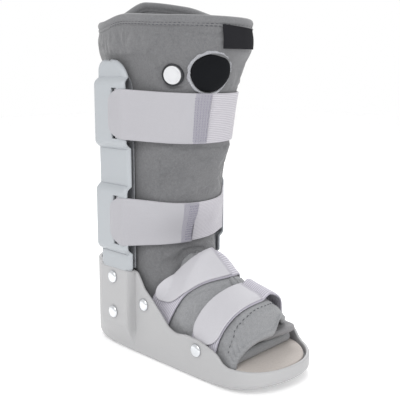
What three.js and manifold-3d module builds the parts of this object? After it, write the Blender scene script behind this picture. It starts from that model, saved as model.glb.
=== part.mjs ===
import * as THREE from 'three';
import { mergeVertices } from 'three/addons/utils/BufferGeometryUtils.js';
import Module from 'manifold-3d';

// A child's medical walking boot, in millimetres. +Z is up and the toes point to -Y.
// "near" is the -X side, where the tabs of the straps close, and "far" is the +X side.

const NEAR = -1;
const FAR = 1;

// Driving dimensions of the sole and the shell round the foot
const SOLE_LENGTH = 212;
const SOLE_HALF_WIDTH = 45.5;
const TOE_ROUND = 48;
const HEEL_ROUND = 46;
const ROUND_POWER = 2.3;
const TOE_SWING = 6;
const SOLE_FLOOR = 12.5;
const TOE_LIFT = 7;
const TOE_LIFT_LENGTH = 62;
const TOE_LIFT_POWER = 1.6;
const HEEL_LIFT = 6;
const HEEL_LIFT_LENGTH = 78;
const HEEL_LIFT_POWER = 1.8;
const SOLE_EDGE = 4;
const SOLE_EDGE_MIDDLE = 0.3;
const SHELL_WALL = 2.8;
const SHELL_LIP = 0.8;
const CUP_HEIGHT = 71;

// Footbed and the two layers of the liner's own sole
const FOOTBED_THICKNESS = 4;
const FOOTBED_GAP = 1;
const LINER_SOLE_THICKNESS = 8;
const LINER_TOE_NEAR_Y = -77;
const LINER_TOE_FAR_Y = -68;
const TOE_SLIT = 2.4;
const FLAP_THICKNESS = 5;
const FLAP_TOE_Y = -76;
const FLAP_LENGTH = 20;
const FLAP_NEAR_X = -8;
const FLAP_FAR_X = 37;
const FLAP_BACK_X = 26;
const FLAP_CORNER = 12;

// Leg of the liner
const BOOT_HEIGHT = 290;
const LEG_AXIS_Y = 34;
const LEG_HALF_WIDTH = 49;
const CALF_FRONT = 73;
const CALF_BACK = 65;
const LEG_POWER = 2.3;
const LEG_COLUMNS = 32;
const LINER_THICKNESS = 6;
const RIM_HEIGHT = 8;
const RIM_THICKNESS = 8;
const RIM_SIDES = 8;
const RIM_POWER = 0.7;

// Foot of the liner
const FOOT_HALF_WIDTH = 39;
const FOOT_FAR_TUCK = 7;
const FOOT_TUCK_FROM_UP = 0.1;
const FOOT_TUCK_FULL_UP = 0.6;
const FOOT_HEIGHT = 80;
const ANKLE_POWER = 1.75;
const FOREFOOT_POWER = 2.05;
const FOOT_WALL = 5;
const FOOT_BACK_Y = 31;
const FOOT_FRONT_NEAR_Y = -78;
const FOOT_FRONT_FAR_Y = -60;
const FOOT_FRONT_TURN = 60;
const FOOT_ARCH_STEPS = 20;
const FOOT_HOLLOW_STEPS = 14;

// Uprights and their channels in the shell
const UPRIGHT_INNER_X = 45.6;
const UPRIGHT_THICKNESS = 3.4;
const UPRIGHT_TOP = 237;
const UPRIGHT_CORNER = 21;
const UPRIGHT_SHOULDER = 2;
const UPRIGHT_FRONT_Y = 29;
const UPRIGHT_WIDTH = 35;
const TONGUE_INSET_FRONT = 5;
const TONGUE_INSET_BACK = 2;
const TONGUE_BOTTOM = 22;
const PAD_RAISE = 4.5;
const PAD_MARGIN = 3;
const PAD_SLOPE = 5;
const SLOT_BAR = 6;
const SLOT_WIDTH = 7;
const CHANNEL_WALL = 2.8;
const CHANNEL_LOW = 12;
const CHANNEL_SLOPE = 9;
const BACKING_THICKNESS = 1;
const BACKING_OVERHANG = 1;
const BACKING_DROP = 4;

// Leg straps
const LEG_STRAP_WIDTH = 39;
const STRAP_COLUMNS = 22;
const STRAP_ROWS = 4;
const STRAP_BED_STEPS = 72;
const LEG_STRAP_THICKNESS = 1.8;
const TAB_THICKNESS = 1.5;
const TAB_REACH = 12;
const TAB_SETTLE = 6;
const TAB_GAP = 0.45;
const TAB_STEPS = 6;
const TAB_ROUNDING = 16;
const UPPER_STRAP_Z = 197.5;
const LOWER_STRAP_Z = 112.5;
const STRAP_DROP = 3.5;
const LOWER_STRAP_TAPER = 2.5;

// Foot straps
const FOOT_STRAP_WIDTH = 28;
const FOOT_STRAP_THICKNESS = 1.6;
const FOOT_TAB_THICKNESS = 1.4;
const FOOT_STRAP_LIFT = 1.35;
const FOOT_STRAP_WAIST = 0.84;
const FOOT_STRAP_STEPS = 18;
const FOOT_TAB_ROUNDING = 12;
const FOOT_TAB_CLEAR = 14;
const FOOT_TAB_STEPS = 3;
const ANKLE_TOP_Y = -25;
const ANKLE_SIDE_Y = 7;
const FOREFOOT_TOP_Y = -58;
const FOREFOOT_SIDE_Y = -47;
const FOREFOOT_END_LIFT = 5;

// Rivets
const RIVET_HEAD_RADIUS = 5.2;
const RIVET_HEAD_HEIGHT = 2.2;
const RIVET_SHANK_RADIUS = 2.2;
const RIVET_DOME_POWER = 0.6;
const RIVET_DOME_STEPS = 3;
const RIVET_SEGMENTS = 10;
const DRILL_SEGMENTS = 12;
const CHANNEL_RIVET_LOW_Z = 33;
const CHANNEL_RIVET_HIGH_Z = 63;
const ANKLE_RIVET_Y = 17;
const ANKLE_RIVET_Z = 44.5;
const FOREFOOT_RIVET_Y = -45;
const FOREFOOT_RIVET_Z = 23.5;

// Pump bulb, release valve and blank tag, on the front of the liner
const BULB_RADIUS = 15.6;
const BULB_DOME = 4.5;
const BULB_SEAT = 3.6;
const BULB_ANGLE = 77.5;
const BULB_Z = 229;
const BULB_STEPS = 5;
const PRESS_STEPS = 30;
const POCKET_REACH = 20;
const EDGING_WIDTH = 2.2;
const EDGING_THICKNESS = 1;
const EDGING_STEPS = 24;
const VALVE_RADIUS = 8.6;
const VALVE_HEIGHT = 2.6;
const VALVE_SEAT = 2.4;
const VALVE_FLOOR = 1;
const VALVE_RIM = 0.6;
const BUTTON_RADIUS = 7;
const BUTTON_TRAVEL = 1.5;
const BUTTON_EDGE = 0.8;
const BUTTON_CROWN = 0.4;
const TURNED_SEGMENTS = 24;
const VALVE_ANGLE = 50.5;
const VALVE_Z = 227.5;
const TAG_FROM_ANGLE = 80;
const TAG_TO_ANGLE = 108;
const TAG_TOP_Z = 263.5;
const TAG_HEIGHT = 17;
const TAG_THICKNESS = 0.9;
const TAG_STAND = 1.2;
const TAG_DROOP = 2.4;
const TAG_ROWS = 3;
const TAG_COLUMNS = 6;

// Clearances, and how far a body that cuts another reaches past it
const SEAT_GAP = 0.3;
const SLIDE_GAP = 0.35;
const CUT_SPARE = 1.5;

// Smallest distances between the rows of a grid and between points that stay apart
const LEAST_STEP = 1e-3;
const MERGE_DISTANCE = 1e-4;

const HALF_SOLE = SOLE_LENGTH / 2;
const FOOTBED_BOTTOM = SOLE_FLOOR + SEAT_GAP;
const FOOTBED_TOP = FOOTBED_BOTTOM + FOOTBED_THICKNESS;
const LINER_BOTTOM = FOOTBED_TOP + SEAT_GAP;
const LINER_SOLE_TOP = LINER_BOTTOM + LINER_SOLE_THICKNESS;
const FLAP_BOTTOM = LINER_SOLE_TOP + TOE_SLIT;
const FLAP_TOP = FLAP_BOTTOM + FLAP_THICKNESS;
const UPRIGHT_OUTER_X = UPRIGHT_INNER_X + UPRIGHT_THICKNESS;
const UPRIGHT_BACK_Y = UPRIGHT_FRONT_Y + UPRIGHT_WIDTH;
const PAD_OUTER_X = UPRIGHT_OUTER_X + PAD_RAISE;
const SLOT_FRONT_Y = UPRIGHT_FRONT_Y + SLOT_BAR;
const SLOT_BACK_Y = SLOT_FRONT_Y + SLOT_WIDTH;
const SLOT_TAIL_Y = (SLOT_FRONT_Y + SLOT_BACK_Y) / 2 - LEG_STRAP_THICKNESS / 2;
const CHANNEL_OUTER_X = UPRIGHT_OUTER_X + SLIDE_GAP + CHANNEL_WALL;
const TONGUE_FRONT_Y = UPRIGHT_FRONT_Y + TONGUE_INSET_FRONT;
const TONGUE_BACK_Y = UPRIGHT_BACK_Y - TONGUE_INSET_BACK;
const CHANNEL_RIVET_Y = (TONGUE_FRONT_Y + TONGUE_BACK_Y) / 2 + 1;

// Top edge of the shell. along: share of half the sole's length, toe at -1.
// rise: share of the cup's height.
const SHELL_EDGE = [
  { along: -1, rise: 0.255 },
  { along: -0.74, rise: 0.26 },
  { along: -0.68, rise: 0.285 },
  { along: -0.62, rise: 0.36 },
  { along: -0.53, rise: 0.405 },
  { along: -0.42, rise: 0.44 },
  { along: -0.31, rise: 0.45 },
  { along: -0.2, rise: 0.43 },
  { along: -0.12, rise: 0.46 },
  { along: -0.05, rise: 0.545 },
  { along: 0.03, rise: 0.645 },
  { along: 0.11, rise: 0.745 },
  { along: 0.17, rise: 0.815 },
  { along: 0.21, rise: 0.9 },
  { along: 0.26, rise: 0.985 },
  { along: 0.32, rise: 1 },
  { along: 1, rise: 1 },
];

// Leg of the liner. up: share of the boot's height. wide, ahead and behind: shares of the
// leg's half width, its depth ahead of the leg's axis and its depth behind it.
const LEG_SECTIONS = [
  { up: 0.055, wide: 0.79, ahead: 0.62, behind: 0.97 },
  { up: 0.2, wide: 0.8, ahead: 0.6, behind: 0.95 },
  { up: 0.27, wide: 0.84, ahead: 0.38, behind: 0.88 },
  { up: 0.33, wide: 0.865, ahead: 0.32, behind: 0.855 },
  { up: 0.415, wide: 0.87, ahead: 0.45, behind: 0.85 },
  { up: 0.49, wide: 0.875, ahead: 0.53, behind: 0.86 },
  { up: 0.55, wide: 0.88, ahead: 0.62, behind: 0.89 },
  { up: 0.605, wide: 0.885, ahead: 0.66, behind: 0.93 },
  { up: 0.69, wide: 0.885, ahead: 0.73, behind: 0.97 },
  { up: 0.76, wide: 0.89, ahead: 0.82, behind: 0.98 },
  { up: 0.815, wide: 0.895, ahead: 0.91, behind: 1.02 },
  { up: 0.845, wide: 0.965, ahead: 0.97, behind: 1.03 },
  { up: 0.885, wide: 1, ahead: 1, behind: 1.02 },
  { up: 1, wide: 1, ahead: 1, behind: 1 },
];

// Rim of the liner. turn: degrees round the leg from its near side by the front.
// up: share of the boot's height.
const RIM_EDGE = [
  { turn: -40, up: 0.93 },
  { turn: 0, up: 0.945 },
  { turn: 45, up: 0.937 },
  { turn: 90, up: 0.932 },
  { turn: 135, up: 0.93 },
  { turn: 180, up: 0.955 },
  { turn: 215, up: 0.985 },
  { turn: 250, up: 1 },
  { turn: 272, up: 0.96 },
  { turn: 288, up: 0.938 },
  { turn: 320, up: 0.93 },
];

// Top of the foot, toe to heel. along: share of half the sole's length, toe at -1.
// rise: share of the foot's height above the footbed.
const FOOT_TOP = [
  { along: -0.74, rise: 0.24 },
  { along: -0.69, rise: 0.43 },
  { along: -0.64, rise: 0.5 },
  { along: -0.54, rise: 0.53 },
  { along: -0.42, rise: 0.575 },
  { along: -0.34, rise: 0.65 },
  { along: -0.22, rise: 0.77 },
  { along: -0.13, rise: 0.85 },
  { along: -0.06, rise: 0.845 },
  { along: 0.05, rise: 0.82 },
  { along: 0.45, rise: 0.8 },
];

// Foot straps. topY and sideY: the strap's middle on top of the foot and at its sides.
// from: arch at which the webbing starts on the near side. tabFrom and seam: arch at the two
// ends of the hook tab. endLift: how far the far end stands off the foot.
const FOOT_STRAPS = {
  ankle: { topY: ANKLE_TOP_Y, sideY: ANKLE_SIDE_Y, from: 10, tabFrom: 30, seam: 92, endLift: 0 },
  forefoot: {
    topY: FOREFOOT_TOP_Y,
    sideY: FOREFOOT_SIDE_Y,
    from: 8,
    tabFrom: 14,
    seam: 92,
    endLift: FOREFOOT_END_LIFT,
  },
};

// Arches between which the far end of a foot strap rises off the foot and comes back to it
const END_RISE = { from: 90, full: 106, falling: 128, to: 158 };

const COLOURS = {
  shell: 0xbcbdbd,
  upright: 0xb8bfc3,
  footbed: 0xb6ada6,
  liner: 0x77797c,
  foot: 0x8f9194,
  webbing: 0xbab7c0,
  tab: 0xcccdd2,
  steel: 0xc9ccd0,
  bulb: 0x1b1c20,
  valve: 0xe6e8e9,
  tag: 0x17181a,
};

const wasm = await Module();
wasm.setup();

function radians(degrees) {
  return THREE.MathUtils.degToRad(degrees);
}

// Value of one column of a table at a place in its first column, on a smooth curve through its rows
function lookUp(rows, key, column, at) {
  const last = rows.length - 1;
  if (at <= rows[0][key]) {
    return rows[0][column];
  }
  if (at >= rows[last][key]) {
    return rows[last][column];
  }
  const i = rows.findIndex((row) => row[key] > at) - 1;
  const slope = (a, b) => (rows[b][column] - rows[a][column]) / (rows[b][key] - rows[a][key]);
  const gradient = (n) => {
    if (n === 0 || n === last) {
      return 0;
    }
    const before = slope(n - 1, n);
    const after = slope(n, n + 1);
    return before * after <= 0 ? 0 : (2 * before * after) / (before + after);
  };
  const step = rows[i + 1][key] - rows[i][key];
  const t = (at - rows[i][key]) / step;
  const start = rows[i][column] * (1 + 2 * t) * (1 - t) ** 2 + gradient(i) * step * t * (1 - t) ** 2;
  const end = rows[i + 1][column] * t * t * (3 - 2 * t) + gradient(i + 1) * step * t * t * (t - 1);
  return start + end;
}

// Value of one column of a table at a place in its first column, on straight lines between its rows
function lookUpStraight(rows, key, column, at) {
  const next = rows.findIndex((row) => row[key] > at);
  if (next === 0) {
    return rows[0][column];
  }
  if (next < 0) {
    return rows[rows.length - 1][column];
  }
  const [low, high] = [rows[next - 1], rows[next]];
  const share = (at - low[key]) / (high[key] - low[key]);
  return THREE.MathUtils.lerp(low[column], high[column], share);
}

function smoothStep(from, to, value) {
  return THREE.MathUtils.smoothstep(value, from, to);
}

// Closed body from a grid of points. Rows are joined in order and each row is a closed ring.
function ringBody(rings, joinEnds) {
  const count = rings[0].length;
  const positions = rings.flat().flatMap((p) => [p.x, p.y, p.z]);
  const index = [];
  const lastRow = joinEnds ? rings.length : rings.length - 1;
  for (let row = 0; row < lastRow; row += 1) {
    for (let column = 0; column < count; column += 1) {
      const next = (column + 1) % count;
      const above = (row + 1) % rings.length;
      const a = row * count + column;
      const b = row * count + next;
      const c = above * count + next;
      const d = above * count + column;
      index.push(a, b, c, a, c, d);
    }
  }
  return bodyFrom(positions, index);
}

// Closed body between an outer and an inner grid of points, with all four edges closed
function sheetBody(outer, inner) {
  const rows = outer.length;
  const columns = outer[0].length;
  const positions = [...outer.flat(), ...inner.flat()].flatMap((p) => [p.x, p.y, p.z]);
  const at = (row, column, side) => side * rows * columns + row * columns + column;
  const index = [];
  const quad = (a, b, c, d) => index.push(a, b, c, a, c, d);
  const right = columns - 1;
  const top = rows - 1;
  for (let row = 0; row < rows - 1; row += 1) {
    for (let column = 0; column < columns - 1; column += 1) {
      quad(at(row, column, 0), at(row, column + 1, 0), at(row + 1, column + 1, 0), at(row + 1, column, 0));
      quad(at(row, column, 1), at(row + 1, column, 1), at(row + 1, column + 1, 1), at(row, column + 1, 1));
    }
    quad(at(row, 0, 1), at(row, 0, 0), at(row + 1, 0, 0), at(row + 1, 0, 1));
    quad(at(row, right, 0), at(row, right, 1), at(row + 1, right, 1), at(row + 1, right, 0));
  }
  for (let column = 0; column < columns - 1; column += 1) {
    quad(at(0, column, 1), at(0, column + 1, 1), at(0, column + 1, 0), at(0, column, 0));
    quad(at(top, column, 0), at(top, column + 1, 0), at(top, column + 1, 1), at(top, column, 1));
  }
  return bodyFrom(positions, index);
}

// Geometry with shared vertices whose faces point outward
function bodyFrom(positions, index) {
  const loose = new THREE.BufferGeometry();
  loose.setAttribute('position', new THREE.Float32BufferAttribute(positions, 3));
  loose.setIndex(index);
  const merged = mergeVertices(loose, MERGE_DISTANCE);
  const kept = [];
  const old = merged.getIndex().array;
  for (let i = 0; i < old.length; i += 3) {
    const [a, b, c] = [old[i], old[i + 1], old[i + 2]];
    if (a !== b && b !== c && c !== a) {
      kept.push(a, b, c);
    }
  }
  merged.setIndex(signedVolume(merged, kept) < 0 ? kept.reverse() : kept);
  return merged;
}

function signedVolume(geometry, index) {
  const position = geometry.getAttribute('position');
  const [a, b, c] = [new THREE.Vector3(), new THREE.Vector3(), new THREE.Vector3()];
  let total = 0;
  for (let i = 0; i < index.length; i += 3) {
    a.fromBufferAttribute(position, index[i]);
    b.fromBufferAttribute(position, index[i + 1]);
    c.fromBufferAttribute(position, index[i + 2]);
    total += a.dot(b.clone().cross(c)) / 6;
  }
  return total;
}

function toSolid(geometry) {
  const merged = mergeVertices(stripped(geometry), MERGE_DISTANCE);
  const vertProperties = new Float32Array(merged.getAttribute('position').array);
  const triVerts = new Uint32Array(merged.getIndex().array);
  return new wasm.Manifold(new wasm.Mesh({ numProp: 3, vertProperties, triVerts }));
}

function toGeometry(solid) {
  const mesh = solid.getMesh();
  const geometry = new THREE.BufferGeometry();
  geometry.setAttribute('position', new THREE.BufferAttribute(mesh.vertProperties, 3));
  geometry.setIndex(new THREE.BufferAttribute(mesh.triVerts, 1));
  return geometry;
}

function box(min, max) {
  const size = new THREE.Vector3().subVectors(max, min);
  const middle = new THREE.Vector3().addVectors(min, max).multiplyScalar(0.5);
  return new THREE.BoxGeometry(size.x, size.y, size.z).translate(middle.x, middle.y, middle.z);
}

// Extrusion of an outline in the YZ plane, from one X to another
function sidePlate(outline, fromX, toX) {
  const settings = { depth: Math.abs(toX - fromX), bevelEnabled: false, curveSegments: 6 };
  const plate = new THREE.ExtrudeGeometry(outline, settings);
  const axes = new THREE.Matrix4().makeBasis(
    new THREE.Vector3(0, 1, 0),
    new THREE.Vector3(0, 0, 1),
    new THREE.Vector3(1, 0, 0),
  );
  return plate.applyMatrix4(axes).translate(Math.min(fromX, toX), 0, 0);
}

// Plan outline of the sole as a closed ring: near side from toe to heel, then far side back
function soleRing(inset, heightAt, squeeze = 1, toeSteps = 7, sideSteps = 16) {
  const halfWidth = SOLE_HALF_WIDTH - inset;
  const toe = TOE_ROUND - inset;
  const heel = HEEL_ROUND - inset;
  const toeStart = -HALF_SOLE + TOE_ROUND;
  const heelStart = HALF_SOLE - HEEL_ROUND;
  const power = 2 / ROUND_POWER;
  const half = [];
  for (let step = 0; step <= toeSteps; step += 1) {
    const angle = ((step / toeSteps) * Math.PI) / 2;
    const x = halfWidth * Math.sin(angle) ** power;
    const y = toeStart - toe * Math.max(Math.cos(angle), 0) ** power;
    half.push([x, y]);
  }
  for (let step = 1; step < sideSteps; step += 1) {
    half.push([halfWidth, toeStart + ((heelStart - toeStart) * step) / sideSteps]);
  }
  for (let step = toeSteps; step >= 0; step -= 1) {
    const angle = ((step / toeSteps) * Math.PI) / 2;
    const x = halfWidth * Math.sin(angle) ** power;
    const y = heelStart + heel * Math.max(Math.cos(angle), 0) ** power;
    half.push([x, y]);
  }
  const point = ([x, y], side) => new THREE.Vector3(side * x * squeeze + toeSwing(y), y, heightAt(y));
  const near = half.map((place) => point(place, NEAR));
  const far = half.slice(1, -1).reverse().map((place) => point(place, FAR));
  return [...near, ...far];
}

// Sideways lean of the toe's outline towards the near side
function toeSwing(y) {
  return NEAR * TOE_SWING * smoothStep(HALF_SOLE - TOE_ROUND, HALF_SOLE, -y);
}

function underside(y) {
  const toe = Math.max(0, -(y + HALF_SOLE - TOE_LIFT_LENGTH) / TOE_LIFT_LENGTH);
  const heel = Math.max(0, (y - HALF_SOLE + HEEL_LIFT_LENGTH) / HEEL_LIFT_LENGTH);
  return TOE_LIFT * toe ** TOE_LIFT_POWER + HEEL_LIFT * heel ** HEEL_LIFT_POWER;
}

function shellTop(y) {
  return CUP_HEIGHT * lookUp(SHELL_EDGE, 'along', 'rise', y / HALF_SOLE);
}

function channelProfile() {
  const profile = new THREE.Shape();
  profile.moveTo(SOLE_HALF_WIDTH - SHELL_WALL, CHANNEL_LOW);
  profile.lineTo(SOLE_HALF_WIDTH - SHELL_LIP, CHANNEL_LOW);
  profile.lineTo(CHANNEL_OUTER_X, CHANNEL_LOW + CHANNEL_SLOPE);
  profile.lineTo(CHANNEL_OUTER_X, CUP_HEIGHT - SHELL_LIP);
  profile.lineTo(CHANNEL_OUTER_X - SHELL_LIP, CUP_HEIGHT);
  profile.lineTo(SOLE_HALF_WIDTH - SHELL_WALL, CUP_HEIGHT);
  profile.closePath();
  return profile;
}

// Raised channel on one side of the shell, round the upright's tongue
function channel(side) {
  const front = TONGUE_FRONT_Y - SLIDE_GAP - CHANNEL_WALL;
  const length = TONGUE_BACK_Y + SLIDE_GAP + CHANNEL_WALL - front;
  const block = new THREE.ExtrudeGeometry(channelProfile(), { depth: length, bevelEnabled: false });
  const axes = new THREE.Matrix4().makeBasis(
    new THREE.Vector3(side, 0, 0),
    new THREE.Vector3(0, 0, 1),
    new THREE.Vector3(0, 1, 0),
  );
  block.applyMatrix4(axes).translate(0, front, 0);
  return side === NEAR ? toSolid(block) : toSolid(flipped(block));
}

// The same body with its faces turned over, for a body that was mirrored
function flipped(geometry) {
  const merged = mergeVertices(stripped(geometry), MERGE_DISTANCE);
  merged.setIndex([...merged.getIndex().array].reverse());
  return merged;
}

function stripped(geometry) {
  const bare = geometry.clone();
  bare.deleteAttribute('normal');
  bare.deleteAttribute('uv');
  return bare;
}

function channelPocket(side) {
  const inner = side * (SOLE_HALF_WIDTH - SHELL_WALL - CUT_SPARE);
  const outer = side * (UPRIGHT_OUTER_X + SLIDE_GAP);
  const min = new THREE.Vector3(
    Math.min(inner, outer),
    TONGUE_FRONT_Y - SLIDE_GAP,
    TONGUE_BOTTOM - SLIDE_GAP,
  );
  const max = new THREE.Vector3(Math.max(inner, outer), TONGUE_BACK_Y + SLIDE_GAP, CUP_HEIGHT + CUT_SPARE);
  return toSolid(box(min, max));
}

function crossDrill(radius, y, z) {
  const drill = new THREE.CylinderGeometry(radius, radius, 4 * SOLE_HALF_WIDTH, DRILL_SEGMENTS);
  return toSolid(drill.rotateZ(Math.PI / 2).translate(0, y, z));
}

function rivetPlaces() {
  return [
    { name: 'channel_high', x: CHANNEL_OUTER_X, y: CHANNEL_RIVET_Y, z: CHANNEL_RIVET_HIGH_Z },
    { name: 'channel_low', x: CHANNEL_OUTER_X, y: CHANNEL_RIVET_Y, z: CHANNEL_RIVET_LOW_Z },
    { name: 'ankle', x: SOLE_HALF_WIDTH, y: ANKLE_RIVET_Y, z: ANKLE_RIVET_Z },
    { name: 'forefoot', x: SOLE_HALF_WIDTH, y: FOREFOOT_RIVET_Y, z: FOREFOOT_RIVET_Z },
  ];
}

// Rocker sole and the side walls and heel cup that rise from it
function baseShell() {
  const middle = SOLE_EDGE * SOLE_EDGE_MIDDLE;
  const rings = [
    soleRing(SOLE_EDGE, underside, 0),
    soleRing(SOLE_EDGE, underside),
    soleRing(middle, (y) => underside(y) + middle),
    soleRing(0, (y) => underside(y) + SOLE_EDGE),
    soleRing(0, (y) => shellTop(y) - SHELL_LIP),
    soleRing(SHELL_LIP, shellTop),
    soleRing(SHELL_WALL - SHELL_LIP / 2, shellTop),
    soleRing(SHELL_WALL, (y) => shellTop(y) - SHELL_LIP),
    soleRing(SHELL_WALL, () => SOLE_FLOOR),
    soleRing(SHELL_WALL, () => SOLE_FLOOR, 0),
  ];
  let solid = toSolid(ringBody(rings, false));
  for (const side of [NEAR, FAR]) {
    solid = solid.add(channel(side)).subtract(channelPocket(side));
  }
  for (const place of rivetPlaces()) {
    solid = solid.subtract(crossDrill(RIVET_SHANK_RADIUS + SLIDE_GAP, place.y, place.z));
  }
  return toGeometry(solid);
}

function plateRing(inset, z, squeeze) {
  return soleRing(inset, () => z, squeeze, 6, 4);
}

// Flat plate with the sole's outline between two heights
function solePlate(inset, bottom, top) {
  const edge = Math.min(1, (top - bottom) / 3);
  const rings = [
    plateRing(inset + edge, bottom, 0),
    plateRing(inset + edge, bottom, 1),
    plateRing(inset, bottom + edge, 1),
    plateRing(inset, top - edge, 1),
    plateRing(inset + edge, top, 1),
    plateRing(inset + edge, top, 0),
  ];
  return ringBody(rings, false);
}

// The liner's own sole, cut straight across at the toes. spare widens it at its sides and its top,
// and below lowers its underside.
function linerSole(spare, below) {
  const inset = SHELL_WALL + SEAT_GAP + LINER_THICKNESS - spare;
  const plate = toSolid(solePlate(inset, LINER_BOTTOM - below, LINER_SOLE_TOP + spare));
  const outline = new THREE.Shape();
  const reach = 2 * SOLE_HALF_WIDTH;
  outline.moveTo(-SOLE_HALF_WIDTH, LINER_TOE_NEAR_Y - spare);
  outline.lineTo(SOLE_HALF_WIDTH, LINER_TOE_FAR_Y - spare);
  outline.lineTo(SOLE_HALF_WIDTH, HALF_SOLE + reach);
  outline.lineTo(-SOLE_HALF_WIDTH, HALF_SOLE + reach);
  outline.closePath();
  const room = new THREE.ExtrudeGeometry(outline, { depth: 2 * LINER_SOLE_TOP, bevelEnabled: false });
  return plate.intersect(toSolid(room));
}

function legSection(z) {
  const up = z / BOOT_HEIGHT;
  return {
    wide: LEG_HALF_WIDTH * lookUpStraight(LEG_SECTIONS, 'up', 'wide', up),
    ahead: CALF_FRONT * lookUpStraight(LEG_SECTIONS, 'up', 'ahead', up),
    behind: CALF_BACK * lookUpStraight(LEG_SECTIONS, 'up', 'behind', up),
  };
}

// Distance of the leg's surface from its axis in a direction turned from the near side by the front
function legRadius(turn, z) {
  const section = legSection(z);
  const across = Math.abs(Math.cos(radians(turn)));
  const along = Math.sin(radians(turn));
  const depth = along > 0 ? section.ahead : section.behind;
  const sum = (across / section.wide) ** LEG_POWER + (Math.abs(along) / depth) ** LEG_POWER;
  return sum ** (-1 / LEG_POWER);
}

function roundLeg(turn, radius, z) {
  return new THREE.Vector3(
    -radius * Math.cos(radians(turn)),
    LEG_AXIS_Y - radius * Math.sin(radians(turn)),
    z,
  );
}

function rimTop(turn) {
  const wrapped = turn > RIM_EDGE[RIM_EDGE.length - 1].turn ? turn - 360 : turn;
  return BOOT_HEIGHT * lookUp(RIM_EDGE, 'turn', 'up', wrapped);
}

function turns(count) {
  return [...Array(count).keys()].map((i) => (360 * i) / count);
}

// Padded leg of the liner: a wall that is open at the top, at the bottom and towards the foot
function linerLeg() {
  const columns = turns(LEG_COLUMNS);
  const heights = legHeights();
  const wallRing = (row, depth) => columns.map((turn) => legWallPoint(turn, heights[row], depth));
  const rows = heights.map((height, row) => row);
  const rings = rows.map((row) => wallRing(row, 0));
  rings.push(...rows.reverse().map((row) => wallRing(row, LINER_THICKNESS)));
  return toSolid(ringBody(rings, true))
    .subtract(footHollow())
    .subtract(solePocket())
    .subtract(roundPocket(bulbFrame(), BULB_RADIUS, BULB_SEAT))
    .subtract(roundPocket(valveFrame(), VALVE_RADIUS, VALVE_SEAT));
}

// Room for the liner's sole inside its walls
function solePocket() {
  return linerSole(SEAT_GAP, CUT_SPARE);
}

// Heights of the leg's rings: its bottom, its table of sections and, as null, its rim
function legHeights() {
  const rows = LEG_SECTIONS.filter((row) => row.up < LEG_SECTIONS[LEG_SECTIONS.length - 1].up);
  const heights = rows.map((row) => row.up * BOOT_HEIGHT).filter((z) => z > LINER_BOTTOM + 1);
  return [LINER_BOTTOM, ...heights, null];
}

function legWallPoint(turn, height, depth) {
  const z = height === null ? rimTop(turn) - RIM_HEIGHT - SEAT_GAP : height;
  return roundLeg(turn, legRadius(turn, z) - depth, z);
}

// Rolled binding on the liner's rim
function rimBinding() {
  const columns = turns(LEG_COLUMNS);
  const squared = (share) => Math.sign(share) * Math.abs(share) ** RIM_POWER;
  const rings = turns(RIM_SIDES).map((angle) => {
    const out = (RIM_THICKNESS / 2) * squared(Math.cos(radians(angle)));
    const up = (RIM_HEIGHT / 2) * squared(Math.sin(radians(angle)));
    return columns.map((turn) => {
      const z = rimTop(turn) - RIM_HEIGHT / 2;
      return roundLeg(turn, legRadius(turn, z) - LINER_THICKNESS / 2 + out, z + up);
    });
  });
  return ringBody(rings, true);
}

// Frame of reference on the leg's surface: its place, the way round, the way up and the way out.
// The slopes are taken over the reach of what is placed there.
function legFrame(turn, z, reach) {
  const surface = (t, height) => roundLeg(t, legRadius(t, height), height);
  const place = surface(turn, z);
  const step = THREE.MathUtils.radToDeg(reach / Math.hypot(place.x, place.y - LEG_AXIS_Y));
  const round = new THREE.Vector3().subVectors(surface(turn + step, z), surface(turn - step, z)).normalize();
  const climb = new THREE.Vector3().subVectors(surface(turn, z + reach), surface(turn, z - reach));
  const out = new THREE.Vector3().crossVectors(round, climb).normalize();
  const up = new THREE.Vector3().crossVectors(out, round);
  return { place, out, round, up };
}

// Places a body made round +Y so that it stands out of the leg
function standOut(geometry, frame) {
  const third = new THREE.Vector3().crossVectors(frame.round, frame.out);
  const matrix = new THREE.Matrix4().makeBasis(frame.round, frame.out, third).setPosition(frame.place);
  return geometry.applyMatrix4(matrix);
}

function bulbFrame() {
  return legFrame(BULB_ANGLE, BULB_Z, BULB_RADIUS);
}

function valveFrame() {
  return legFrame(VALVE_ANGLE, VALVE_Z, VALVE_RADIUS);
}

// Round pocket in the leg's wall for what is seated at a frame
function roundPocket(frame, radius, depth) {
  const height = depth + POCKET_REACH;
  const bore = radius + SEAT_GAP;
  const cylinder = new THREE.CylinderGeometry(bore, bore, height, TURNED_SEGMENTS);
  cylinder.translate(0, height / 2 - depth - SEAT_GAP, 0);
  return toSolid(standOut(cylinder, frame));
}

function lathe(profile, segments) {
  const turned = new THREE.LatheGeometry(profile.map(([r, y]) => new THREE.Vector2(r, y)), segments);
  const merged = mergeVertices(stripped(turned), MERGE_DISTANCE);
  return bodyFrom(Array.from(merged.getAttribute('position').array), Array.from(merged.getIndex().array));
}

function pumpBulb() {
  const profile = [[0, -BULB_SEAT], [BULB_RADIUS, -BULB_SEAT], [BULB_RADIUS, 0]];
  for (let step = 1; step < BULB_STEPS; step += 1) {
    const angle = ((step / BULB_STEPS) * Math.PI) / 2;
    profile.push([BULB_RADIUS * Math.cos(angle), BULB_DOME * Math.sin(angle)]);
  }
  profile.push([0, BULB_DOME]);
  return standOut(lathe(profile, TURNED_SEGMENTS), bulbFrame());
}

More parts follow.
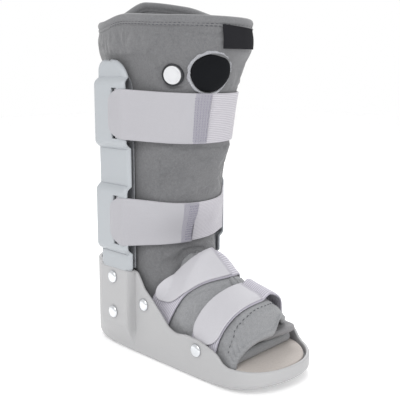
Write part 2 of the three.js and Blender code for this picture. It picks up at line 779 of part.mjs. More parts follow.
// Point on the leg's surface in front of a place on the flat that touches it
function pressOnLeg(frame, along, above, lift) {
  const flat = frame.place.clone().addScaledVector(frame.round, along).addScaledVector(frame.up, above);
  let [outside, inside] = [BULB_RADIUS, -BULB_RADIUS];
  for (let step = 0; step < PRESS_STEPS; step += 1) {
    const middle = (outside + inside) / 2;
    const spot = flat.clone().addScaledVector(frame.out, middle);
    const turn = THREE.MathUtils.radToDeg(Math.atan2(LEG_AXIS_Y - spot.y, -spot.x));
    if (Math.hypot(spot.x, spot.y - LEG_AXIS_Y) > legRadius(turn, spot.z)) {
      outside = middle;
    } else {
      inside = middle;
    }
  }
  return flat.addScaledVector(frame.out, inside + lift);
}

// Fabric edging round the bulb, laid on the leg's surface
function bulbEdging() {
  const inner = BULB_RADIUS + SEAT_GAP;
  const section = [
    { radius: inner, lift: SEAT_GAP },
    { radius: inner, lift: SEAT_GAP + EDGING_THICKNESS },
    { radius: inner + EDGING_WIDTH, lift: SEAT_GAP + EDGING_THICKNESS },
    { radius: inner + EDGING_WIDTH, lift: SEAT_GAP },
  ];
  const frame = bulbFrame();
  const rings = section.map(({ radius, lift }) =>
    turns(EDGING_STEPS).map((degrees) => {
      const along = radius * Math.cos(radians(degrees));
      const above = radius * Math.sin(radians(degrees));
      return pressOnLeg(frame, along, above, lift);
    }),
  );
  return ringBody(rings, true);
}

function valveHousing() {
  const bore = BUTTON_RADIUS + SLIDE_GAP;
  const profile = [
    [bore, VALVE_FLOOR - VALVE_SEAT],
    [bore, VALVE_HEIGHT - VALVE_RIM],
    [bore + VALVE_RIM, VALVE_HEIGHT],
    [VALVE_RADIUS, VALVE_HEIGHT - 2 * VALVE_RIM],
    [VALVE_RADIUS, -VALVE_SEAT],
    [0, -VALVE_SEAT],
    [0, VALVE_FLOOR - VALVE_SEAT],
    [bore, VALVE_FLOOR - VALVE_SEAT],
  ];
  return standOut(lathe(profile, TURNED_SEGMENTS), valveFrame());
}

function valveButton() {
  const floor = VALVE_FLOOR - VALVE_SEAT + SEAT_GAP + BUTTON_TRAVEL;
  const profile = [
    [0, floor],
    [BUTTON_RADIUS, floor],
    [BUTTON_RADIUS, VALVE_HEIGHT - VALVE_RIM],
    [BUTTON_RADIUS - BUTTON_EDGE, VALVE_HEIGHT + BUTTON_CROWN / 2],
    [0, VALVE_HEIGHT + BUTTON_CROWN],
  ];
  return standOut(lathe(profile, TURNED_SEGMENTS), valveFrame());
}

// Blank tag that hangs from the rim's seam and stands off at its lower edge
function blankTag() {
  const layer = (lift) =>
    spread(0, 1, TAG_ROWS).map((down) =>
      spread(TAG_FROM_ANGLE, TAG_TO_ANGLE, TAG_COLUMNS).map((turn) => {
        const z = TAG_TOP_Z - TAG_HEIGHT * down;
        return roundLeg(turn, legRadius(turn, z) + TAG_STAND + TAG_DROOP * down + lift, z);
      }),
    );
  return sheetBody(layer(TAG_THICKNESS), layer(0));
}

function footTop(y) {
  return LINER_BOTTOM + FOOT_HEIGHT * lookUpStraight(FOOT_TOP, 'along', 'rise', y / HALF_SOLE);
}

// Power of the foot's cross section, sharper at the ankle than at the forefoot
function footPower(y) {
  return THREE.MathUtils.lerp(ANKLE_POWER, FOREFOOT_POWER, smoothStep(-ANKLE_TOP_Y, -FOREFOOT_TOP_Y, -y));
}

// Share of the tuck on the foot's far side
function farTuck(y, up) {
  return smoothStep(0, -FOREFOOT_TOP_Y, -y) * smoothStep(FOOT_TUCK_FROM_UP, FOOT_TUCK_FULL_UP, up);
}

// Point on the foot's dome. arch: 0 at the near edge of the sole, 90 on top, 180 at the far edge.
function footPoint(arch, y, lift) {
  const power = 2 / footPower(y);
  const across = Math.cos(radians(arch));
  const up = Math.max(Math.sin(radians(arch)), 0);
  const tucked = across < 0 ? farTuck(y, up) : 0;
  const tuck = FOOT_FAR_TUCK * tucked;
  const width = FOOT_HALF_WIDTH - tuck + lift;
  const height = footTop(y) - LINER_BOTTOM + lift;
  return new THREE.Vector3(
    -Math.sign(across) * width * Math.abs(across) ** power + toeSwing(y),
    y,
    LINER_BOTTOM + height * up ** power,
  );
}

// Half width of the leg at a place along the foot, or nothing in front of the leg
function legHalfWidth(y, z) {
  const section = legSection(z);
  const share = (LEG_AXIS_Y - y) / section.ahead;
  return share > 1 ? 0 : section.wide * (1 - Math.abs(share) ** LEG_POWER) ** (1 / LEG_POWER);
}

// Point on the foot or, where the leg is wider, on the leg
function wrapPoint(arch, y, lift) {
  const point = footPoint(arch, y, lift);
  const leg = legHalfWidth(y, point.z) + lift + 2 * SEAT_GAP;
  if (Math.abs(point.x) < leg && legHalfWidth(y, point.z) > 0) {
    point.x = Math.sign(point.x) * leg;
  }
  return point;
}

function footFrontY(arch) {
  return THREE.MathUtils.lerp(FOOT_FRONT_NEAR_Y, FOOT_FRONT_FAR_Y, smoothStep(FOOT_FRONT_TURN, 180, arch));
}

// Places along the foot at which its wall has a ring: its own front, its table's rows and its back
function footPlaces(arch) {
  const front = footFrontY(arch);
  return FOOT_TOP.map((row) => Math.min(Math.max(row.along * HALF_SOLE, front), FOOT_BACK_Y));
}

function footGrid(lift) {
  return spread(0, 180, FOOT_ARCH_STEPS).map((arch) =>
    footPlaces(arch).map((y, row) => footPoint(arch, y + row * LEAST_STEP, lift)),
  );
}

// Hollow of the foot, which also opens the front of the leg's wall
function footHollow() {
  const rings = spread(-HALF_SOLE, FOOT_BACK_Y, FOOT_HOLLOW_STEPS).map((y) =>
    spread(0, 180, FOOT_ARCH_STEPS).map((arch) => {
      const point = footPoint(arch, y, -FOOT_WALL);
      return point.setZ(Math.max(point.z, LINER_BOTTOM));
    }),
  );
  return toSolid(cappedRings(rings));
}

// Body from rings of points, with a fan of triangles closing each end
function cappedRings(rings) {
  const centre = (ring) => {
    const middle = new THREE.Vector3();
    ring.forEach((p) => middle.add(p));
    return middle.divideScalar(ring.length);
  };
  const point = (ring) => ring.map(() => centre(ring));
  return ringBody([point(rings[0]), ...rings, point(rings[rings.length - 1])], false);
}

// Flap of the foot that lies under the outer one and shows at the toes
function underFlap() {
  const back = FLAP_TOE_Y + FLAP_LENGTH;
  const outline = new THREE.Shape();
  outline.moveTo(FLAP_NEAR_X, FLAP_TOE_Y);
  outline.lineTo(FLAP_FAR_X - FLAP_CORNER, FLAP_TOE_Y);
  outline.absarc(FLAP_FAR_X - FLAP_CORNER, FLAP_TOE_Y + FLAP_CORNER, FLAP_CORNER, -Math.PI / 2, 0, false);
  outline.lineTo(FLAP_BACK_X, back);
  outline.lineTo(FLAP_NEAR_X, back);
  outline.closePath();
  const settings = { depth: FLAP_THICKNESS, bevelEnabled: false, curveSegments: 8 };
  return new THREE.ExtrudeGeometry(outline, settings).translate(0, 0, FLAP_BOTTOM);
}

// Padded foot of the liner, open at the toes and into the leg
function linerFoot() {
  const outer = footGrid(0);
  const inner = footGrid(-FOOT_WALL);
  const legBody = legHeights().map((height, row) =>
    turns(LEG_COLUMNS).map((turn) => {
      const point = legWallPoint(turn, height, -SEAT_GAP);
      return row === 0 ? point.setZ(LINER_BOTTOM - FOOT_WALL) : point;
    }),
  );
  return toSolid(sheetBody(outer, inner))
    .subtract(toSolid(cappedRings(legBody)))
    .subtract(solePocket())
    .subtract(flapRoom());
}

// Room inside the foot for the under flap, and the slit under both flaps
function flapRoom() {
  const back = FLAP_TOE_Y + FLAP_LENGTH + SEAT_GAP;
  const front = -HALF_SOLE;
  const flap = box(
    new THREE.Vector3(FLAP_NEAR_X - SEAT_GAP, front, LINER_SOLE_TOP),
    new THREE.Vector3(SOLE_HALF_WIDTH, back, FLAP_TOP + SEAT_GAP),
  );
  const slit = box(
    new THREE.Vector3(FOOT_WALL - FOOT_HALF_WIDTH, front, LINER_SOLE_TOP),
    new THREE.Vector3(SOLE_HALF_WIDTH, back, FLAP_BOTTOM),
  );
  return toSolid(flap).add(toSolid(slit));
}

// Thickness of the bulb's edging at a place on the leg
function edgingUnder(turn, z) {
  const along = legRadius(turn, z) * radians(turn - BULB_ANGLE);
  const reach = BULB_RADIUS + SEAT_GAP + EDGING_WIDTH + 2 * EDGING_THICKNESS;
  return Math.hypot(along, z - BULB_Z) < reach ? EDGING_THICKNESS + 3 * SEAT_GAP : 0;
}

// Outline in plan of what a leg strap is drawn tight over, as a convex ring of points
function strapBed(z) {
  const points = turns(STRAP_BED_STEPS).map((turn) => {
    const p = roundLeg(turn, legRadius(turn, z) + edgingUnder(turn, z), z);
    return [p.x, p.y];
  });
  for (const side of [NEAR, FAR]) {
    points.push([side * PAD_OUTER_X, UPRIGHT_FRONT_Y], [side * PAD_OUTER_X, UPRIGHT_BACK_Y]);
  }
  points.sort((a, b) => a[0] - b[0] || a[1] - b[1]);
  const cross = (o, a, b) => (a[0] - o[0]) * (b[1] - o[1]) - (a[1] - o[1]) * (b[0] - o[0]);
  const halfHull = (list) => {
    const hull = [];
    for (const point of list) {
      while (hull.length > 1 && cross(hull[hull.length - 2], hull[hull.length - 1], point) <= 0) {
        hull.pop();
      }
      hull.push(point);
    }
    return hull.slice(0, -1);
  };
  return [...halfHull(points), ...halfHull([...points].reverse())];
}

function bedRadius(bed, turn) {
  const [dx, dy] = [-Math.cos(radians(turn)), -Math.sin(radians(turn))];
  let best = 0;
  for (let i = 0; i < bed.length; i += 1) {
    const [ax, ay] = [bed[i][0], bed[i][1] - LEG_AXIS_Y];
    const [bx, by] = [bed[(i + 1) % bed.length][0] - ax, bed[(i + 1) % bed.length][1] - LEG_AXIS_Y - ay];
    const scale = dx * by - dy * bx;
    const share = (ax * dy - ay * dx) / scale;
    const reach = (ax * by - ay * bx) / scale;
    if (share >= -1e-9 && share <= 1 + 1e-9 && reach > best) {
      best = reach;
    }
  }
  return best;
}

// Height of a leg strap's middle, which drops a little from its sides to the front
function strapHeight(middleZ, turn) {
  return middleZ - STRAP_DROP * Math.sin(radians(THREE.MathUtils.clamp(turn, 0, 180)));
}

// Band laid round the leg over a list of directions. stand gives its distance from the bed.
function legBand({ middleZ, taper, directions, stand, thickness }) {
  const layer = (lift) =>
    spread(-1, 1, STRAP_ROWS).map((across) =>
      directions(across).map((turn) => {
        const front = Math.max(Math.sin(radians(turn)), 0);
        const half = LEG_STRAP_WIDTH / 2 - taper * front;
        const z = strapHeight(middleZ, turn) + across * half;
        return roundLeg(turn, bedRadius(strapBed(z), turn) + stand(turn) + lift, z);
      }),
    );
  return sheetBody(layer(thickness), layer(0));
}

function spread(from, to, steps) {
  return [...Array(steps + 1).keys()].map((i) => THREE.MathUtils.lerp(from, to, i / steps));
}

// Direction from the leg's axis to a place at the strap pad's face
function padTurn(y) {
  return THREE.MathUtils.radToDeg(Math.atan2(LEG_AXIS_Y - y, PAD_OUTER_X));
}

// Webbing of a leg strap, from the near slot round the front to the far slot
function legStrap(middleZ, taper) {
  const nearEnd = padTurn(SLOT_TAIL_Y);
  const corner = padTurn(UPRIGHT_FRONT_Y);
  const front = spread(corner, 180 - corner, STRAP_COLUMNS);
  const band = legBand({
    middleZ,
    taper,
    directions: () => [nearEnd, ...front, 180 - nearEnd],
    stand: () => SEAT_GAP,
    thickness: LEG_STRAP_THICKNESS,
  });
  let solid = toSolid(band);
  for (const side of [NEAR, FAR]) {
    solid = solid.add(strapTail(side, strapHeight(middleZ, 0)));
  }
  return toGeometry(solid);
}

// End of the webbing that turns in through the slot of an upright
function strapTail(side, z) {
  const inner = side * (UPRIGHT_INNER_X + SEAT_GAP);
  const outer = side * (PAD_OUTER_X + SEAT_GAP + LEG_STRAP_THICKNESS * 0.9);
  const half = LEG_STRAP_WIDTH / 2 - SLIDE_GAP;
  const min = new THREE.Vector3(Math.min(inner, outer), SLOT_TAIL_Y - LEG_STRAP_THICKNESS / 2, z - half);
  const max = new THREE.Vector3(Math.max(inner, outer), SLOT_TAIL_Y + LEG_STRAP_THICKNESS / 2, z + half);
  return toSolid(box(min, max));
}

// Smooth hook tab on the near side, with a rounded free end that settles on the pad
function legTab(middleZ, taper, seamTurn) {
  const tip = SLOT_FRONT_Y + TAB_REACH;
  const corner = padTurn(UPRIGHT_FRONT_Y);
  const front = spread(corner, 180 - corner, STRAP_COLUMNS).filter((turn) => turn < seamTurn);
  const over = SEAT_GAP + LEG_STRAP_THICKNESS + TAB_GAP;
  const settled = padTurn(SLOT_BACK_Y + TAB_SETTLE);
  const lifted = padTurn(SLOT_TAIL_Y + 3 * LEG_STRAP_THICKNESS);
  return legBand({
    middleZ,
    taper,
    directions: (across) => {
      const end = padTurn(tip - TAB_ROUNDING * roundedEnd(across));
      return [...spread(end, corner, TAB_STEPS), ...front.slice(1), seamTurn];
    },
    stand: (turn) => THREE.MathUtils.lerp(SEAT_GAP, over, smoothStep(settled, lifted, turn)),
    thickness: TAB_THICKNESS,
  });
}

// Share of a rounded end's depth that is cut back at a place across it, from -1 to 1
function roundedEnd(across) {
  return 1 - Math.sqrt(1 - across * across);
}

function roundedTopOutline(frontY, backY, bottomZ, topZ, corner) {
  const outline = new THREE.Shape();
  outline.moveTo(frontY, bottomZ);
  outline.lineTo(frontY, topZ - corner);
  outline.absarc(frontY + corner, topZ - corner, corner, Math.PI, Math.PI / 2, true);
  outline.lineTo(backY - corner / 3, topZ);
  outline.absarc(backY - corner / 3, topZ - corner / 3, corner / 3, Math.PI / 2, 0, true);
  outline.lineTo(backY, bottomZ);
  outline.closePath();
  return outline;
}

// Raised pad of an upright, whose ends slope down to its flat face
function uprightPad(bottomZ, topZ) {
  const profile = new THREE.Shape();
  profile.moveTo(UPRIGHT_OUTER_X - CUT_SPARE, bottomZ - PAD_SLOPE);
  profile.lineTo(UPRIGHT_OUTER_X, bottomZ - PAD_SLOPE);
  profile.lineTo(PAD_OUTER_X, bottomZ);
  profile.lineTo(PAD_OUTER_X, topZ);
  profile.lineTo(UPRIGHT_OUTER_X, topZ + PAD_SLOPE);
  profile.lineTo(UPRIGHT_OUTER_X - CUT_SPARE, topZ + PAD_SLOPE);
  profile.closePath();
  const block = new THREE.ExtrudeGeometry(profile, { depth: UPRIGHT_WIDTH, bevelEnabled: false });
  const axes = new THREE.Matrix4().makeBasis(
    new THREE.Vector3(1, 0, 0),
    new THREE.Vector3(0, 0, 1),
    new THREE.Vector3(0, -1, 0),
  );
  return toSolid(block.applyMatrix4(axes).translate(0, UPRIGHT_BACK_Y, 0));
}

function uprightSlot(middleZ) {
  const half = LEG_STRAP_WIDTH / 2 + SLIDE_GAP;
  const min = new THREE.Vector3(UPRIGHT_INNER_X - CUT_SPARE, SLOT_FRONT_Y, middleZ - half);
  const max = new THREE.Vector3(PAD_OUTER_X + CUT_SPARE, SLOT_BACK_Y, middleZ + half);
  return toSolid(box(min, max));
}

// Upright on the far side, with its tongue, its two raised pads and their slots
function upright() {
  const bottom = CUP_HEIGHT + UPRIGHT_SHOULDER;
  const plate = sidePlate(
    roundedTopOutline(UPRIGHT_FRONT_Y, UPRIGHT_BACK_Y, bottom, UPRIGHT_TOP, UPRIGHT_CORNER),
    UPRIGHT_INNER_X,
    UPRIGHT_OUTER_X,
  );
  const tongue = box(
    new THREE.Vector3(UPRIGHT_INNER_X, TONGUE_FRONT_Y, TONGUE_BOTTOM),
    new THREE.Vector3(UPRIGHT_OUTER_X, TONGUE_BACK_Y, bottom + CUT_SPARE),
  );
  const padHalf = LEG_STRAP_WIDTH / 2 + PAD_MARGIN;
  let solid = toSolid(plate).add(toSolid(tongue));
  for (const middleZ of [UPPER_STRAP_Z, LOWER_STRAP_Z]) {
    solid = solid.add(uprightPad(middleZ - padHalf, middleZ + padHalf));
  }
  for (const middleZ of [UPPER_STRAP_Z, LOWER_STRAP_Z]) {
    solid = solid.subtract(uprightSlot(middleZ));
  }
  for (const z of [CHANNEL_RIVET_LOW_Z, CHANNEL_RIVET_HIGH_Z]) {
    solid = solid.subtract(crossDrill(RIVET_SHANK_RADIUS + SLIDE_GAP, CHANNEL_RIVET_Y, z));
  }
  return toGeometry(solid);
}

// Thin strip between an upright and the liner
function backingStrip() {
  const outer = UPRIGHT_INNER_X - SEAT_GAP;
  return sidePlate(
    roundedTopOutline(
      UPRIGHT_FRONT_Y - BACKING_OVERHANG,
      UPRIGHT_BACK_Y - TONGUE_INSET_BACK,
      CUP_HEIGHT + UPRIGHT_SHOULDER,
      UPRIGHT_TOP - BACKING_DROP,
      UPRIGHT_CORNER,
    ),
    outer - BACKING_THICKNESS,
    outer,
  );
}

function mirrored(geometry) {
  const copy = geometry.clone().applyMatrix4(new THREE.Matrix4().makeScale(-1, 1, 1));
  return flipped(copy);
}

// Rivet with a domed head outside and a shank through the wall, on the far side
function rivet(place) {
  const through = place.x === CHANNEL_OUTER_X ? CHANNEL_OUTER_X - UPRIGHT_INNER_X : SHELL_WALL;
  const profile = [[0, SEAT_GAP - through], [RIVET_SHANK_RADIUS, SEAT_GAP - through]];
  profile.push([RIVET_SHANK_RADIUS, SEAT_GAP], [RIVET_HEAD_RADIUS, SEAT_GAP]);
  for (let step = 1; step < RIVET_DOME_STEPS; step += 1) {
    const angle = ((step / RIVET_DOME_STEPS) * Math.PI) / 2;
    const radius = RIVET_HEAD_RADIUS * Math.cos(angle) ** RIVET_DOME_POWER;
    profile.push([radius, SEAT_GAP + RIVET_HEAD_HEIGHT * Math.sin(angle)]);
  }
  profile.push([0, SEAT_GAP + RIVET_HEAD_HEIGHT]);
  return lathe(profile, RIVET_SEGMENTS).rotateZ(-Math.PI / 2);
}

// Middle line of a foot strap: it leans back towards its rivet on the sides
function footStrapY(strap, arch) {
  const side = Math.abs(Math.cos(radians(arch))) ** 2;
  return THREE.MathUtils.lerp(strap.topY, strap.sideY, side);
}

// Rise of a foot strap off the foot near its far end
function endRise(strap, arch) {
  const rising = smoothStep(END_RISE.from, END_RISE.full, arch);
  return strap.endLift * rising * (1 - smoothStep(END_RISE.falling, END_RISE.to, arch));
}

function footBand(strap, arches, lift, thickness) {
  const halfY = (arch) =>
    (FOOT_STRAP_WIDTH / 2) * THREE.MathUtils.lerp(FOOT_STRAP_WAIST, 1, Math.abs(Math.cos(radians(arch))));
  const layer = (extra) =>
    spread(-1, 1, STRAP_ROWS).map((across) =>
      arches(across).map((arch) => {
        const y = footStrapY(strap, arch) + across * halfY(arch);
        return wrapPoint(arch, y, lift + endRise(strap, arch) + extra);
      }),
    );
  return sheetBody(layer(thickness), layer(0));
}

function strapArches(strap) {
  return spread(strap.from, 180 - strap.from, FOOT_STRAP_STEPS);
}

function footStrap(strap) {
  return footBand(strap, () => strapArches(strap), FOOT_STRAP_LIFT, FOOT_STRAP_THICKNESS);
}

// Hook tab of a foot strap, with a rounded free end over the near side
function footTab(strap) {
  const lift = FOOT_STRAP_LIFT + FOOT_STRAP_THICKNESS + 2 * SEAT_GAP;
  const clear = strap.tabFrom + FOOT_TAB_CLEAR;
  const shared = strapArches(strap).filter((arch) => arch > clear && arch < strap.seam);
  const arches = (across) => {
    const end = strap.tabFrom + FOOT_TAB_ROUNDING * roundedEnd(across);
    return [...spread(end, shared[0], FOOT_TAB_STEPS), ...shared.slice(1), strap.seam];
  };
  return footBand(strap, arches, lift, FOOT_TAB_THICKNESS);
}

function material(colour, roughness, metalness) {
  return new THREE.MeshStandardMaterial({ color: colour, roughness, metalness });
}

const MATERIALS = {
  shell: material(COLOURS.shell, 0.55, 0),
  upright: material(COLOURS.upright, 0.5, 0),
  footbed: material(COLOURS.footbed, 0.85, 0),
  liner: material(COLOURS.liner, 0.95, 0),
  foot: material(COLOURS.foot, 0.95, 0),
  webbing: material(COLOURS.webbing, 0.9, 0),
  tab: material(COLOURS.tab, 0.8, 0),
  steel: material(COLOURS.steel, 0.3, 1),
  bulb: material(COLOURS.bulb, 0.7, 0),
  valve: material(COLOURS.valve, 0.4, 0),
  tag: material(COLOURS.tag, 0.8, 0),
};

function node(name, geometry, finish) {
  const mesh = new THREE.Mesh(geometry, finish);
  mesh.geometry.computeVertexNormals();
  mesh.name = name;
  return mesh;
}

function shellNodes() {
  return [
    node('base_shell', baseShell(), MATERIALS.shell),
    node(
      'footbed',
      solePlate(SHELL_WALL + FOOTBED_GAP, FOOTBED_BOTTOM, FOOTBED_TOP),
      MATERIALS.footbed,
    ),
    node('liner_sole', toGeometry(linerSole(0, 0)), MATERIALS.foot),
  ];
}

function linerNodes() {
  return [
    node('liner_leg', toGeometry(linerLeg()), MATERIALS.liner),
    node('liner_foot', toGeometry(linerFoot()), MATERIALS.foot),
    node('liner_under_flap', underFlap(), MATERIALS.liner),
    node('rim_binding', rimBinding(), MATERIALS.liner),
    node('blank_tag', blankTag(), MATERIALS.tag),
  ];
}

function airNodes() {
  return [
    node('pump_bulb', pumpBulb(), MATERIALS.bulb),
    node('bulb_edging', bulbEdging(), MATERIALS.webbing),
    node('valve_housing', valveHousing(), MATERIALS.bulb),
    node('valve_button', valveButton(), MATERIALS.valve),
  ];
}

function uprightNodes() {
  const farUpright = upright();
  const farBacking = backingStrip();
  return [
    node('upright_far', farUpright, MATERIALS.upright),
    node('upright_near', mirrored(farUpright), MATERIALS.upright),
    node('backing_far', farBacking, MATERIALS.webbing),
    node('backing_near', mirrored(farBacking), MATERIALS.webbing),
  ];
}

function rivetNodes() {
  const meshes = [];
  for (const place of rivetPlaces()) {
    const far = node(`rivet_${place.name}_far`, rivet(place), MATERIALS.steel);
    far.position.set(place.x, place.y, place.z);
    const near = node(`rivet_${place.name}_near`, rivet(place), MATERIALS.steel);
    near.position.set(-place.x, place.y, place.z);
    near.rotation.z = Math.PI;
    meshes.push(far, near);
  }
  return meshes;
}

function strapNodes() {
  return [
    node('leg_strap_upper', legStrap(UPPER_STRAP_Z, 0), MATERIALS.webbing),
    node('leg_strap_upper_tab', legTab(UPPER_STRAP_Z, 0, 74), MATERIALS.tab),
    node('leg_strap_lower', legStrap(LOWER_STRAP_Z, LOWER_STRAP_TAPER), MATERIALS.webbing),
    node('leg_strap_lower_tab', legTab(LOWER_STRAP_Z, LOWER_STRAP_TAPER, 76), MATERIALS.tab),
    node('ankle_strap', footStrap(FOOT_STRAPS.ankle), MATERIALS.webbing),
    node('ankle_strap_tab', footTab(FOOT_STRAPS.ankle), MATERIALS.tab),
    node('forefoot_strap', footStrap(FOOT_STRAPS.forefoot), MATERIALS.webbing),
    node('forefoot_strap_tab', footTab(FOOT_STRAPS.forefoot), MATERIALS.tab),
  ];
}

const boot = new THREE.Group();
boot.add(...shellNodes());
boot.add(...linerNodes());
boot.add(...airNodes());
boot.add(...uprightNodes());
boot.add(...rivetNodes());
boot.add(...strapNodes());

export default boot;
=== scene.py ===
# %% [markdown]
# # A child's walking boot, dressed in Blender
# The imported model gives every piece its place. This lesson makes the surfaces that the camera sees:
# moulded plastic, padded fabric, webbing, rubber and metal. Lengths are in millimetres in the maths
# and turn into metres when a mesh is made. The boot stands on Z = 0 with its toes towards -Y.

import bmesh
import bpy
import numpy as np
from mathutils import Matrix


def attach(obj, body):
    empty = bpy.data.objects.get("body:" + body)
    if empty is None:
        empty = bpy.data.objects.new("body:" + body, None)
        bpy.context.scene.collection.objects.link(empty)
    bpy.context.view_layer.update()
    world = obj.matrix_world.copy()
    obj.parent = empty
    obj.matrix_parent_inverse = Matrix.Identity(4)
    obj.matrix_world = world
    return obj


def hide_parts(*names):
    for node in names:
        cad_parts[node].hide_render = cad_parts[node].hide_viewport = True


MM = 0.001
NEAR, FAR = -1, 1

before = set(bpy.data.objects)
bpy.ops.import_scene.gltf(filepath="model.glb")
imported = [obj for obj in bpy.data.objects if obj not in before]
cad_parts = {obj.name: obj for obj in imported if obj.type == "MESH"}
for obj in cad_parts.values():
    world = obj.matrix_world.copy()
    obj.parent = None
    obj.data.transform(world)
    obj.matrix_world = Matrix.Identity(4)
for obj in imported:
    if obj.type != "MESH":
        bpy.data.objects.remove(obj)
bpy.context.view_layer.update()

# %% [markdown]
# ## Camera
# The photograph was taken from the near front corner, a little above the boot. A pinhole camera is
# a place and three axes: right, up and backwards. The lens is the focal length in pixels scaled to
# a 36 mm sensor.

# %% Camera
HEADING = np.radians(43.0)
PITCH = np.radians(9.83)
FOCAL_SHARE = 750 / 400

CAMERA_SHIFT, CAMERA_DISTANCE, CAMERA_HEIGHT, SENSOR_WIDTH = 0.3, 600, 231, 36

sky = np.array([0.0, 0.0, 1.0])
camera_right = np.array([np.cos(HEADING), -np.sin(HEADING), 0.0])
level = np.array([np.sin(HEADING), np.cos(HEADING), 0.0])
forward = np.cos(PITCH) * level - np.sin(PITCH) * sky
camera_up = np.cross(camera_right, forward)
camera_place = CAMERA_SHIFT * camera_right - CAMERA_DISTANCE * level + CAMERA_HEIGHT * sky
camera_place = camera_place * MM

camera_data = bpy.data.cameras.new("photo_camera")
camera_data.sensor_width = SENSOR_WIDTH
camera_data.lens = SENSOR_WIDTH * FOCAL_SHARE
camera = bpy.data.objects.new("photo_camera", camera_data)
axes = np.stack([camera_right, camera_up, -forward, camera_place], axis=1)
camera.matrix_world = Matrix([*axes.tolist(), [0, 0, 0, 1]])
bpy.context.scene.collection.objects.link(camera)
bpy.context.scene.camera = camera
print("camera at", camera_place.round(3))

# %% [markdown]
# ## Light and floor
# A product photograph uses large soft lamps on white. Three area lamps and a bright world do the
# same: the big lamp over the camera's left shoulder gives the soft highlights on the plastic, the
# one on the right keeps the straps' far ends light, and the floor is nearly white. The camera
# sees the world as plain white, a little brighter than the light that the world gives.


# %% Lamps, world and floor
def add_lamp(name, place, target, size, power):
    """An area lamp at a place, turned to face a target, both in metres."""
    data = bpy.data.lights.new(name, "AREA")
    data.shape = "DISK"
    data.size = size
    data.energy = power
    lamp = bpy.data.objects.new(name, data)
    aim = np.array(target) - np.array(place)
    back = -aim / np.linalg.norm(aim)
    side = np.cross([0.0, 0.0, 1.0], back)
    side = side / np.linalg.norm(side)
    top = np.cross(back, side)
    turn = np.stack([side, top, back], axis=1)
    lamp.matrix_world = Matrix.Translation(place) @ Matrix(turn.tolist()).to_4x4()
    bpy.context.scene.collection.objects.link(lamp)


BOOT_MIDDLE = (0.0, 0.0, 0.14)
add_lamp("key_lamp", (-0.95, -0.55, 1.15), BOOT_MIDDLE, 0.7, 8)
add_lamp("fill_lamp", (0.35, -1.25, 0.65), BOOT_MIDDLE, 0.9, 2.5)
add_lamp("back_lamp", (0.75, 0.75, 0.9), BOOT_MIDDLE, 0.7, 9)

world = bpy.data.worlds.new("studio")
bpy.context.scene.world = world
world.use_nodes = True
world_nodes, join = world.node_tree.nodes, world.node_tree.links.new
ambient = world_nodes["Background"]
ambient.inputs["Color"].default_value = (1, 1, 1, 1)
ambient.inputs["Strength"].default_value = 0.82
backdrop = world_nodes.new("ShaderNodeBackground")
backdrop.inputs["Color"].default_value = (1, 1, 1, 1)
backdrop.inputs["Strength"].default_value = 1.0
light_path = world_nodes.new("ShaderNodeLightPath")
mixed = world_nodes.new("ShaderNodeMixShader")
join(light_path.outputs["Is Camera Ray"], mixed.inputs[0])
join(ambient.outputs[0], mixed.inputs[1])
join(backdrop.outputs[0], mixed.inputs[2])
join(mixed.outputs[0], world_nodes["World Output"].inputs[0])
bpy.context.scene.view_settings.view_transform = "Standard"

# %% [markdown]
# ## A small language for materials
# A shader is a graph of nodes. Wrapping a socket in a small class lets its maths be written as
# Python: `1 - mask` adds a Math node. Everything else goes through one method, `node`.


# %% Sockets as Python values
class Value:
    """A number that comes out of a node. Sums with it add Math nodes to the same tree."""

    def __init__(self, look, socket):
        self.look = look
        self.socket = socket

    def maths(self, operation, first, second=0.0):
        return self.look.node("Math", {"operation": operation}, {0: first, 1: second})

    def __add__(self, other):
        return self.maths("ADD", self, other)

    __radd__ = __add__

    def __sub__(self, other):
        return self.maths("SUBTRACT", self, other)

    def __rsub__(self, other):
        return self.maths("SUBTRACT", other, self)

    def __mul__(self, other):
        return self.maths("MULTIPLY", self, other)

    __rmul__ = __mul__

    def sine(self):
        return self.maths("SINE", self)

    def above(self, edge, soft):
        """0 below edge and 1 above edge + soft, with a smooth step between."""
        settings = {"interpolation_type": "SMOOTHSTEP"}
        inputs = {"Value": self, "From Min": edge, "From Max": edge + soft}
        return self.look.node("MapRange", settings, inputs)


